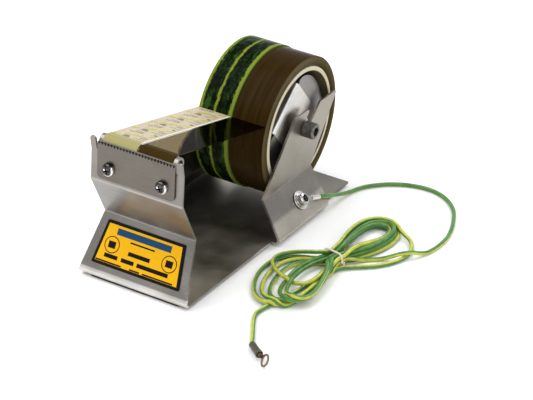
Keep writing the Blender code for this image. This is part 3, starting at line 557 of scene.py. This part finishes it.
def hub_metal(name):
    """Bent aluminium with painted light: a painted gradient across each plate, painted highlights on its
    flanges, painted shade on the lobes that fold back and near-black painted shade inside the hub.
    """
    made = Shader(name, (0.66, 0.645, 0.62), 0.36, 1.0)
    x, y, z = made.axes(made.vector(move=(0, -AXLE.y, -AXLE.z)))
    cos, sin = math.cos(HUB_TURN), math.sin(HUB_TURN)
    along = made.math("ABSOLUTE", made.plus(made.times(y, -sin), made.times(z, cos)))
    across = made.plus(made.times(y, cos), made.times(z, sin))
    flange = made.remap(made.math("ABSOLUTE", across), HUB_HALF - 0.0012, HUB_HALF + 0.0002)
    lobe_painted_shade = made.remap(along, HUB_WAIST - 0.0003, HUB_WAIST + 0.0003)
    between = made.remap(made.math("ABSOLUTE", x), 0.0125, 0.0115)
    # Painted light and shade: darker towards one side, bright flanges, darker lobes and near black
    # between the plates
    tone = made.mix(made.remap(across, -HUB_HALF, HUB_HALF), (0.52, 0.49, 0.44), (0.66, 0.64, 0.60))
    tone = made.mix(flange, tone, (0.86, 0.86, 0.85))
    tone = made.mix(lobe_painted_shade, tone, (0.24, 0.225, 0.21))
    tone = made.mix(between, tone, (0.02, 0.02, 0.02))
    return worn_sheet(made, tone, 0.36, (700, 60, 700))


def layered_side(made, far, colour, dark):
    """Fine rings of wound film, as a colour that changes with the distance from the spindle."""
    rings = made.noise(made.combine(made.times(far, 5200.0), 0.0), 1.0, 5.0, 0.75)
    broad = made.noise(made.combine(made.times(far, 700.0), 3.0), 1.0, 3.0, 0.6)
    tone = made.mottle(rings, dark, colour, 0.3)
    return made.mix(made.remap(broad, 0.4, 0.7, 0.0, 0.5), tone, tinted(dark, 0.9))


def wound_film(made, face, side, sides):
    """A roll's outer face and its two flat sides, slightly uneven; it mirrors the dark of a room."""
    _, angle, x = made.about_axle()
    low, high = sides
    flat = made.largest(
        made.remap(x, low + 0.0003, low + 0.0001), made.remap(x, high - 0.0003, high - 0.0001)
    )
    wave = made.noise(made.combine(made.times(x, 110.0), angle), 1.0, 3.0, 0.5)
    gloss = made.remap(wave, 0.3, 0.7, 0.20, 0.32)
    made.set("Base Color", made.mix(flat, face, side))
    made.set("Roughness", made.plus(gloss, made.times(flat, 0.12)))
    made.set("Specular IOR Level", WOUND_GLOSS)
    made.bump(wave, 0.12, 0.0003)
    return made.material


def clear_roll(name):
    """Clear brown film, wound: dark brown round its face, olive and ringed on its sides."""
    made = Shader(name, (0.05, 0.03, 0.01), 0.2)
    far, angle, x = made.about_axle()
    bands = made.noise(made.combine(made.times(x, 260.0), made.times(angle, 0.6)), 1.0, 4.0, 0.6)
    face = made.mottle(bands, (0.020, 0.0100, 0.0012), (0.036, 0.0195, 0.0035))
    side = layered_side(made, far, (0.120, 0.090, 0.034), (0.060, 0.042, 0.013))
    return wound_film(made, face, side, CLEAR_SIDES)


def printed_roll(name):
    """Printed film, wound: three lime lines round it with dense black-green print between them."""
    made = Shader(name, (0.02, 0.05, 0.01), 0.2)
    far, angle, x = made.about_axle()
    fine = made.combine(made.times(x, 330.0), made.times(angle, 9.0))
    blots = made.noise(fine, 1.0, 5.0, 0.75, 0.9)
    coarse = made.combine(made.times(x, 170.0), made.times(angle, 3.2), 5.0)
    sparse = made.noise(coarse, 1.0, 3.0, 0.6, 0.4)
    face = made.mottle(blots, (0.002, 0.003, 0.0015), (0.008, 0.024, 0.004), 0.47, 0.60)
    face = made.mottle(sparse, face, (0.024, 0.062, 0.008), 0.54, 0.64)
    ragged = made.plus(x, made.times(made.minus(blots, 0.5), 0.0040))
    lines = [(-0.0243, 0.0013), (-0.0012, 0.0016), (-0.0132, 0.0008)]
    left, right, middle = (made.band(ragged, at, half, 0.0004) for at, half in lines)
    lime = made.largest(made.largest(left, right), middle)
    face = made.mix(lime, face, (0.17, 0.22, 0.022))
    side = layered_side(made, far, (0.20, 0.30, 0.05), (0.07, 0.11, 0.02))
    return wound_film(made, face, side, PRINTED_SIDES)


def core_board(name):
    """Wound board: pale and fibrous at its cut ends, brown inside and painted much darker there
    for the shade in the bore, with the winding's slant seam.
    """
    made = Shader(name, (0.80, 0.74, 0.60), 0.75)
    far, angle, x = made.about_axle()
    stretched = made.combine(made.times(far, 2600.0), made.times(angle, 2.0), made.times(x, 500.0))
    fibre = made.noise(stretched, 1.0, 5.0, 0.7)
    rim = made.mottle(fibre, (0.50, 0.42, 0.27), (0.72, 0.66, 0.50))
    # brown board in the bore, painted dark for the shade inside the roll
    brown_bore_and_shade = made.mottle(fibre, (0.075, 0.058, 0.022), (0.120, 0.098, 0.042))
    turns = made.plus(made.times(x, 40.0), made.math("DIVIDE", angle, 2 * math.pi))
    seam = made.band(made.math("FRACT", turns), 0.5, 0.015, 0.008)
    brown_bore_and_shade = made.mix(seam, brown_bore_and_shade, (0.035, 0.026, 0.010))
    in_bore = made.remap(far, CORE_INNER + 0.0005, CORE_INNER + 0.0001)
    made.set("Base Color", made.mix(in_bore, rim, brown_bore_and_shade))
    made.bump(fibre, 0.25, 0.0001)
    return made.material


def printed_film(name):
    """The drawn printed strip: lengthwise streaks, darker and more olive round the rest."""
    colour, rough = (0.62, 0.52, 0.37), 0.28
    made = Shader(name, colour, rough)
    made.set("Specular IOR Level", FILM_GLOSS)
    vector = made.vector()
    x, y, _ = made.axes(vector)
    streak = made.noise(made.combine(made.times(x, 420.0), made.times(y, 12.0)), 1.0, 4.0, 0.65)
    wrap = made.remap(y, *REST_WRAP)
    tone = made.mottle(streak, (0.50, 0.42, 0.28), colour)
    made.set("Base Color", made.mix(wrap, tone, (0.33, 0.30, 0.12)))
    made.set("Alpha", made.remap(wrap, 0.0, 1.0, FILM_ALPHA, WRAP_ALPHA))
    made.set("Roughness", made.remap(streak, 0.3, 0.7, rough - 0.05, rough + 0.08))
    made.bump(made.noise(vector, 90.0, 2.0, 0.5), 0.10, 0.0004)
    return made.material


def clear_film(name):
    """Clear brown film: what lies behind it shows through, tinted; it is darker round the rest."""
    tint = (0.175, 0.135, 0.065)
    made = Shader(name, tint, 0.05)
    wrap = made.remap(made.axis(made.vector(), "Y"), *REST_WRAP)
    made.set("Base Color", made.mix(wrap, tint, (0.040, 0.024, 0.004)))
    made.set("Transmission Weight", made.remap(wrap, 0.0, 1.0, 1.0, 0.0))
    made.set("IOR", 1.05)
    return made.material


def soft_plastic(name, colour, rough=0.45, scale=300.0, share=0.8, gloss=0.5):
    made = Shader(name, colour, rough)
    cloud = made.noise(made.vector(), scale, 4.0, 0.6)
    made.set("Base Color", made.mottle(cloud, tinted(colour, share), colour))
    made.set("Roughness", made.remap(cloud, 0.3, 0.7, rough - 0.06, rough + 0.10))
    made.set("Specular IOR Level", gloss)
    made.bump(cloud, 0.12, 0.0001)
    return made.material


def matt_ink(name, colour):
    return soft_plastic(name, colour, scale=500.0, share=0.93, gloss=INK_GLOSS)


def cord_sleeve(name):
    """Green insulation with a yellow line along it; U runs along the cord and V around it."""
    made = Shader(name, (0.07, 0.22, 0.03), 0.38)
    along, around, _ = made.axes(made.vector("UV"))
    edge = made.noise(made.combine(made.times(along, 90.0), 0.0), 1.0, 3.0, 0.6)
    middle = made.plus(0.5, made.times(made.minus(edge, 0.5), 0.05))
    stripe = made.band(around, middle, 0.17, 0.02)
    grime = made.noise(made.vector(), 260.0, 4.0, 0.6)
    green = made.mottle(grime, (0.040, 0.155, 0.018), (0.085, 0.26, 0.035))
    yellow = made.mottle(grime, (0.40, 0.42, 0.035), (0.58, 0.60, 0.07))
    made.set("Base Color", made.mix(stripe, green, yellow))
    made.set("Roughness", made.remap(grime, 0.3, 0.7, 0.28, 0.45))
    made.set("Coat Weight", 0.15).set("Coat Roughness", 0.2)
    made.bump(grime, 0.08, 0.0001)
    return made.material


def twisted_paper(name):
    made = Shader(name, (0.80, 0.68, 0.52), 0.65)
    cloud = made.noise(made.vector(), 900.0, 4.0, 0.7)
    made.set("Base Color", made.mottle(cloud, (0.62, 0.46, 0.32), (0.88, 0.79, 0.65)))
    made.bump(cloud, 0.3, 0.0002)
    return made.material


# Ground cord

def through(points, spacing):
    """Points about one spacing apart on a smooth curve through the given ones."""
    points = [Vector(point) for point in points]
    made = []
    for index in range(len(points) - 1):
        p1, p2 = points[index], points[index + 1]
        p0 = points[index - 1] if index else p1 * 2 - p2
        p3 = points[index + 2] if index + 2 < len(points) else p2 * 2 - p1
        parts = max(1, round((p2 - p1).length / spacing))
        for part in range(parts):
            t = part / parts
            made.append(
                0.5 * (2 * p1 + (p2 - p0) * t + (2 * p0 - 5 * p1 + 4 * p2 - p3) * t * t
                       + (3 * p1 - p0 - 3 * p2 + p3) * t ** 3)
            )
    return made + [points[-1]]


def even(points, spacing):
    """The same line with its points an even distance apart."""
    line = np.array([tuple(point) for point in points])
    along = np.concatenate([[0.0], np.cumsum(np.linalg.norm(np.diff(line, axis=0), axis=1))])
    steps = np.linspace(0.0, along[-1], max(2, round(along[-1] / spacing) + 1))
    return np.stack([np.interp(steps, along, line[:, k]) for k in range(3)], axis=1)


def tie_slot(column, row, rearwards, lean=0.0):
    """The points that take one strand through the tie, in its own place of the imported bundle."""
    middle = TIE + ACROSS * (column - 2) * PITCH
    middle.z = TIE_FLOOR + row * PITCH * ROW_SHARE
    run = [middle - NECK * NECK_RUN + LEAN * lean, middle, middle + NECK * NECK_RUN]
    return run if rearwards else run[::-1]


def lobe(outer, inner, share, height):
    """One turn of a lobe between its outermost and innermost one, at a height over the bench."""
    turn = [Vector(far).lerp(Vector(near), share) for far, near in zip(outer, inner)]
    return [Vector((point.x, point.y, height)) for point in turn]


def cord_route():
    """The whole cord: lead, five turns through the tie, the slanting strand, free loop and tail."""
    route = [Vector(EXIT)] + [Vector(p) for p in LEAD_ROUTE]
    route += tie_slot(*LEAD_SLOT, False)
    for turn in range(TURNS):
        share = TURN_SHARES[turn]
        route += lobe(FRONT_OUTER, FRONT_INNER, share, FRONT_LOW + TURN_RISE * turn)
        route += tie_slot(*TURN_SLOTS[2 * turn], True, 1.0 - share)
        route += lobe(REAR_OUTER, REAR_INNER, share, REAR_LOW + TURN_RISE * turn)
        route += tie_slot(*TURN_SLOTS[2 * turn + 1], False)
    route += [Vector(p) for p in SLANT]
    route += tie_slot(*SLANT_SLOT, True, SLANT_LEAN)
    route += lobe(REAR_OUTER, REAR_INNER, SLANT_SHARE, SLANT_HIGH)[:4]
    route += [Vector(p) for p in REAR_TO_LOOP + LOOP_ROUTE + UNDER_FRONT + TAIL_ROUTE]
    return route


def neighbours(line, apart, within):
    """Pairs of points that are close in space but at least so many steps apart along the line."""
    far = np.linalg.norm(line[:, None, :] - line[None, :, :], axis=2)
    return np.nonzero(np.triu(far < within, apart))


def bend_evenly(line, free):
    """One step towards a smoother line, stronger where it bends tightly."""
    smooth = (line[:-2] + line[2:]) / 2 - line[1:-1]
    curved = np.linalg.norm(smooth, axis=1, keepdims=True) * 2 / CORD_STEP ** 2
    stiff = SMALL_BEND + TIGHT_BEND * np.clip(curved * STIFF_BELOW - 1, 0, 1)
    line[1:-1][free[1:-1]] += (stiff * smooth)[free[1:-1]]
    wide = (line[:-6] + line[6:]) / 2 - line[3:-3]
    line[3:-3][free[3:-3]] += WIDE_BEND * wide[free[3:-3]]


def push_apart(line, pairs):
    """How far each point moves so that strands nearer than their reach come apart."""
    first, second = pairs
    gap = line[first] - line[second]
    far = np.linalg.norm(gap, axis=1, keepdims=True)
    push = PUSH_SHARE * np.maximum(REACH - far, 0.0) / far * gap * PUSH_AXES
    move = np.zeros_like(line)
    np.add.at(move, first, push)
    np.subtract.at(move, second, push)
    length = np.linalg.norm(move, axis=1, keepdims=True)
    return move * np.minimum(1.0, LONGEST_PUSH / np.maximum(length, 1e-9))


def settle(line, held, gripped):
    """Lets the strands come to rest on the bench and on each other, a diameter apart."""
    target = line.copy()
    free = ~held
    pull = np.where(gripped, GRIPPED_PULL, LOOSE_PULL)[:, None]
    for step in range(SETTLE_ROUNDS):
        if step % LOOK_EVERY == 0:
            pairs = neighbours(line, STEPS_APART, REACH + LOOK_BEYOND)
        bend_evenly(line, free)
        back = pull * (target - line)
        line[free, :2] += back[free, :2]
        line[gripped, 2] += back[gripped, 2]
        if step < SINKING_ROUNDS:
            line[free & ~gripped, 2] -= SINK
        line[free] += push_apart(line, pairs)[free]
        line[:, 2] = np.maximum(line[:, 2], CORD_R)
    return line


def tube_rings(points, radius, sides, twist):
    """A ring of corners about each point of a line, and how far along the line each point is."""
    last = len(points) - 1
    ahead = [(points[min(i + 1, last)] - points[max(i - 1, 0)]).normalized() for i in range(last + 1)]
    side = Vector((0, 0, 1)) if abs(ahead[0].z) < 0.9 else Vector((1, 0, 0))
    verts, travelled, along = [], [], 0.0
    for index, point in enumerate(points):
        side = (side - ahead[index] * side.dot(ahead[index])).normalized()
        up = ahead[index].cross(side)
        if index:
            along += (point - points[index - 1]).length
        travelled.append(along)
        for k in range(sides):
            angle = 2 * math.pi * k / sides + twist * along
            verts.append(point + (side * math.cos(angle) + up * math.sin(angle)) * radius)
    return verts, travelled


def tube_mesh(name, line, radius, sides, twist=0.0):
    """A closed tube along a line, with U along it in metres and V around it."""
    points = [Vector(p) for p in line]
    count = len(points)
    verts, travelled = tube_rings(points, radius, sides, twist)
    faces, uvs = [], []
    for index in range(count - 1):
        for k in range(sides):
            a, b = index * sides + k, index * sides + (k + 1) % sides
            faces.append((a, b, b + sides, a + sides))
            u0, u1 = travelled[index], travelled[index + 1]
            v0, v1 = k / sides, (k + 1) / sides
            uvs += [(u0, v0), (u0, v1), (u1, v1), (u1, v0)]
    faces.append(tuple(reversed(range(sides))))
    faces.append(tuple(range((count - 1) * sides, count * sides)))
    uvs += [(0.0, 0.0)] * sides + [(travelled[-1], 0.0)] * sides
    mesh = bpy.data.meshes.new(name)
    mesh.from_pydata(verts, [], faces)
    layer = mesh.uv_layers.new(name="UVMap")
    for loop, uv in zip(layer.data, uvs):
        loop.uv = uv
    for polygon in mesh.polygons[:-2]:
        polygon.use_smooth = True
    obj = bpy.data.objects.new(name, mesh)
    bpy.context.scene.collection.objects.link(obj)
    return obj


def settled_line():
    """The cord's line at rest, in close even steps."""
    line = even(through(cord_route(), 0.001), CORD_STEP)
    from_tie = line - np.array(TIE)
    gripped = np.abs(from_tie @ np.array(NECK)) < TIE_HALF_LONG
    gripped &= np.abs(from_tie @ np.array(ACROSS)) < TIE_HALF_WIDE
    held = np.zeros(len(line), bool)
    held[:int(LEAD_LONG / CORD_STEP)] = True
    held[-int(TAIL_LONG / CORD_STEP):] = True
    line = settle(line, held, gripped)
    return even(through([tuple(p) for p in line], 0.0015), 0.0018)


def ground_cord(material):
    """The cord's piece, its line and its length."""
    dense = settled_line()
    cord = tube_mesh("ground_cord", dense, CORD_R, CORD_SIDES, CORD_TWIST)
    cord.data.materials.append(material)
    length = float(np.linalg.norm(np.diff(dense, axis=0), axis=1).sum())
    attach(cord, "frame")
    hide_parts("ground_cord_lead", "ground_cord_loop", "ground_cord_hank", "ground_cord_tail")
    return cord, dense, length


def hank_tie(material):
    """A paper tie once round the bundle, slightly askew, its two ends side by side."""
    half_wide, half_high = 2 * PITCH + CORD_R + 0.0006, (3 * PITCH + 0.0009) / 2
    steps = 40
    ring = []
    for k in range(steps + 1):
        angle = 2 * math.pi * k / steps
        wide = math.copysign(abs(math.cos(angle)) ** 0.5, math.cos(angle)) * half_wide
        tall = math.copysign(abs(math.sin(angle)) ** 0.5, math.sin(angle)) * half_high
        askew = 0.0009 * math.sin(angle)
        past_start = 0.0022 * k / steps - 0.0011
        height = max(0.0006, half_high + 0.0004 + tall)
        ring.append(TIE + ACROSS * wide + NECK * (askew + past_start) + Vector((0, 0, height)))
    tie = tube_mesh("hank_tie_paper", even(ring, 0.0006), TIE_R, 8)
    tie.data.materials.append(material)
    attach(tie, "frame")
    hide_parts("hank_tie")
    return tie


def refine(obj, width):
    """Welds the CAD mesh, rounds its edges a little and smooths its shading."""
    weld = obj.modifiers.new("weld", "WELD")
    weld.merge_threshold = WELD_REACH
    if width:
        bevel = obj.modifiers.new("bevel", "BEVEL")
        bevel.width = width
        bevel.segments = 2
        bevel.limit_method = "ANGLE"
        bevel.angle_limit = BEVEL_FROM
        bevel.harden_normals = True
        bevel.use_clamp_overlap = True
    for polygon in obj.data.polygons:
        polygon.use_smooth = True
    normal = obj.modifiers.new("normal", "WEIGHTED_NORMAL")
    normal.keep_sharp = True


def dress(nodes, material, width, *names):
    for name in names:
        obj = nodes[name]
        obj.data.materials.clear()
        obj.data.materials.append(material)
        refine(obj, width)


# Printed graphics

def flat_marks(name, polygons, material, place):
    """Thin flat marks: each is a list of (u, v) corners that place() puts on a surface."""
    verts, faces = [], []
    for polygon in polygons:
        start = len(verts)
        verts += [place(u, v) for u, v in polygon]
        faces.append(tuple(range(start, len(verts))))
    mesh = bpy.data.meshes.new(name)
    mesh.from_pydata(verts, [], faces)
    mesh.materials.append(material)
    obj = bpy.data.objects.new(name, mesh)
    bpy.context.scene.collection.objects.link(obj)
    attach(obj, "frame")


def bar(u, v, long, high):
    left, right = u - long / 2, u + long / 2
    low, top = v - high / 2, v + high / 2
    return [(left, low), (right, low), (right, top), (left, top)]


def disc(u, v, radius, sides=28):
    angles = [2 * math.pi * k / sides for k in range(sides)]
    return [(u + radius * math.cos(angle), v + radius * math.sin(angle)) for angle in angles]


def panel_place(layer):
    """Puts (across, up the panel) on the label, this many layers of ink over its face."""
    up = Vector((0, PANEL_CREASE[0] - PANEL_FOOT[0], PANEL_CREASE[1] - PANEL_FOOT[1])).normalized()
    outward = Vector((0, -up.z, up.y))
    foot = Vector((0, FRONT_Y + PANEL_FOOT[0], BASE_Z + PANEL_FOOT[1])) + outward * (SHEET / 2)
    return lambda u, v: foot + Vector((u, 0, 0)) + up * v + outward * (LABEL_FACE + layer * INK_LAYER)


def label_outline(margin):
    """The label's outline, this far inside its edge."""
    narrowing = (HIGH_HALF - LOW_HALF) * margin / (LABEL_HIGH - LABEL_LOW)
    bottom = LOW_HALF + narrowing - margin
    top = HIGH_HALF - narrowing - margin
    low, high = LABEL_LOW + margin, LABEL_HIGH - margin
    return [(-bottom, low), (bottom, low), (top, high), (-top, high)]


def label_graphics(ink, blue, yellow):
    """A plain yellow label with a dark edge, bars where words would be and two plain round marks."""
    flat_marks("label_edge", [label_outline(EDGE_MARGIN)], ink, panel_place(1))
    flat_marks("label_field", [label_outline(FIELD_MARGIN)], yellow, panel_place(2))
    flat_marks("label_title", [bar(*TITLE)], blue, panel_place(3))
    marks = [bar(*place) for place in PLAIN_BARS]
    marks += [bar(u, WORDS_UP, long, WORDS_HIGH) for u, long in WORD_BARS]
    marks += [bar(u, SMALL_UP, long, SMALL_HIGH) for u, long in SMALL_BARS]
    marks += [disc(side * MARK_U, MARK_V, MARK_R) for side in (-1, 1)]
    flat_marks("label_lines", marks, ink, panel_place(3))
    fields = [disc(side * MARK_U, MARK_V, MARK_FIELD_R) for side in (-1, 1)]
    flat_marks("label_mark_fields", fields, yellow, panel_place(4))
    blocks = [bar(side * MARK_U, MARK_V, *MARK_BLOCK) for side in (-1, 1)]
    flat_marks("label_mark_blocks", blocks, ink, panel_place(5))


def web_place(lift):
    """Puts (across, along from the rest) on the printed strip that runs up to its roll."""
    radius = CURL_RADIUS + GAP + WEB_THICK / 2
    centre = Vector((CURL[0], CURL[1]))
    axle = Vector((AXLE.y - FRONT_Y, AXLE.z - BASE_Z))
    peel = axle + Vector((math.cos(PEEL_ANGLE), math.sin(PEEL_ANGLE))) * (PRINTED_R + GAP)
    reach = peel - centre
    tangent = math.atan2(reach.y, reach.x) + math.acos(radius / reach.length)
    outward = Vector((math.cos(tangent), math.sin(tangent)))
    start = centre + outward * (radius + WEB_THICK / 2 + lift)
    along = Vector((outward.y, -outward.x))

    def put(u, v):
        at = start + along * v if v > 0 else centre + Matrix.Rotation(-v / radius, 2) @ (start - centre)
        return Vector((u, FRONT_Y + at.x, BASE_Z + at.y))

    return put


def print_cell(v):
    """One repeat of the strip's print, from v on: its slanting lime blocks and its dark marks."""
    lime = [
        [(-0.0245, v), (-0.0205, v + 0.0010), (-0.0200, v + 0.0036), (-0.0243, v + 0.0030)],
        [(-0.0190, v + 0.0050), (-0.0080, v + 0.0086), (-0.0074, v + 0.0112), (-0.0186, v + 0.0078)],
        [(-0.0070, v + 0.0120), (-0.0015, v + 0.0142), (-0.0018, v + 0.0168), (-0.0073, v + 0.0146)],
    ]
    dark = [[(-0.0180, v + 0.0005), (-0.0130, v + 0.0005), (-0.0143, v + 0.0044), (-0.0167, v + 0.0044)]]
    dark += [bar(-0.0200 + 0.0018 * k, v + 0.0142 + 0.0004 * k, 0.0011, 0.0013) for k in range(5)]
    dark += [bar(-0.0098 + 0.0016 * k, v + 0.0022, 0.0009, 0.0011) for k in range(5)]
    dark += [bar(-0.0060, v + 0.0060, 0.0046, 0.0007), bar(-0.0055, v + 0.0082, 0.0036, 0.0007)]
    dark += [disc(-0.0046, v + 0.0188, 0.0013, 14), bar(-0.0150, v + 0.0178, 0.0060, 0.0007)]
    return lime, dark


def web_graphics(ink, lime, highlight_white):
    """Loose dashes and blocks on the printed strip, in place of lettering, and a painted highlight along
    its right edge.
    """
    blocks, marks = [], []
    for cell in range(CELLS):
        cell_lime, cell_dark = print_cell(FIRST_CELL + CELL_LONG * cell)
        blocks += cell_lime
        marks += cell_dark
    blocks = [corners for corners in blocks if max(v for _, v in corners) < PRINT_END]
    marks = [corners for corners in marks if max(v for _, v in corners) < PRINT_END]
    left, right = EDGE_HIGHLIGHT
    edge = [(left, 0.0), (right, 0.0), (right, PRINT_END), (left, PRINT_END)]
    lime_lift, ink_lift, highlight_lift = PRINT_LIFTS
    flat_marks("web_print_lime", blocks, lime, web_place(lime_lift))
    flat_marks("web_print_dark", marks, ink, web_place(ink_lift))
    flat_marks("web_painted_edge_highlight", [edge], highlight_white, web_place(highlight_lift))


# The whole object

def lay_cord():
    cord, line, length = ground_cord(cord_sleeve("cord_green_yellow"))
    tie = hank_tie(twisted_paper("tie_paper"))


def dress_metal(nodes):
    dress(nodes, chassis_sheet("stainless_sheet"), SHEET_EDGE, "chassis")
    dress(nodes, blade_sheet("blade_steel"), THIN_EDGE, "cutter_blade")
    dress(nodes, screw_head("plated_screw"), SMALL_EDGE, "blade_screw_left", "blade_screw_right")
    dress(nodes, ground_head("ground_plating"), SMALL_EDGE, "ground_screw")
    dress(
        nodes, bright_metal("plated_steel", PLATING, 0.17), SMALL_EDGE,
        "blade_washer_left", "blade_washer_right", "blade_nut_left", "blade_nut_right",
        "axle_washer", "ground_star_washer", "ground_nut", "near_ring_terminal",
    )
    dress(nodes, black_oxide("black_oxide_knurled"), SMALL_EDGE, "axle_bolt", "axle_nut")
    hub = hub_metal("hub_aluminium")
    dress(nodes, hub, SOFT_EDGE, "hub_plate_left", "hub_plate_right", "hub_sleeve")
    bronze = bright_metal("terminal_bronze", (0.26, 0.18, 0.11), 0.32)
    dress(nodes, bronze, THIN_EDGE, "far_ring_terminal")


def dress_tape(nodes):
    dress(nodes, core_board("core_board"), SOFT_EDGE, "printed_tape_core", "clear_tape_core")
    dress(nodes, printed_roll("printed_tape"), 0.0, "printed_tape_roll")
    dress(nodes, clear_roll("clear_tape"), 0.0, "clear_tape_roll")
    dress(nodes, printed_film("printed_film"), 0.0, "printed_tape_web")
    dress(nodes, clear_film("clear_film"), 0.0, "clear_tape_web")


def dress_plastic(nodes):
    nylon = soft_plastic("nylon", (0.62, 0.59, 0.52), 0.42)
    dress(nodes, nylon, SOFT_EDGE, "hub_spacer_left", "hub_spacer_right")
    dress(nodes, matt_ink("label_backing", BLACK_INK), 0.0, "label_plate")
    dress(nodes, soft_plastic("pad_rubber", (0.03, 0.03, 0.03), 0.8), SOFT_EDGE, "base_pad")
    sleeve = soft_plastic("shrink_sleeve", (0.060, 0.056, 0.036), 0.50)
    dress(nodes, sleeve, SOFT_EDGE, "far_terminal_sleeve")


def print_graphics():
    ink = matt_ink("ink", BLACK_INK)
    blue = matt_ink("ink_blue", (0.010, 0.060, 0.135))
    label_graphics(ink, blue, matt_ink("label_yellow", (0.82, 0.43, 0.004)))
    lime = soft_plastic("ink_lime", (0.42, 0.50, 0.05), 0.3)
    web_ink = soft_plastic("web_ink", (0.16, 0.13, 0.09), 0.3)
    web_graphics(web_ink, lime, soft_plastic("film_edge_highlight", (0.85, 0.83, 0.78), 0.3))


def main():
    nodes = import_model()["nodes"]
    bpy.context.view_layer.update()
    camera()
    studio()
    lay_cord()
    dress_metal(nodes)
    dress_tape(nodes)
    dress_plastic(nodes)
    print_graphics()


main()
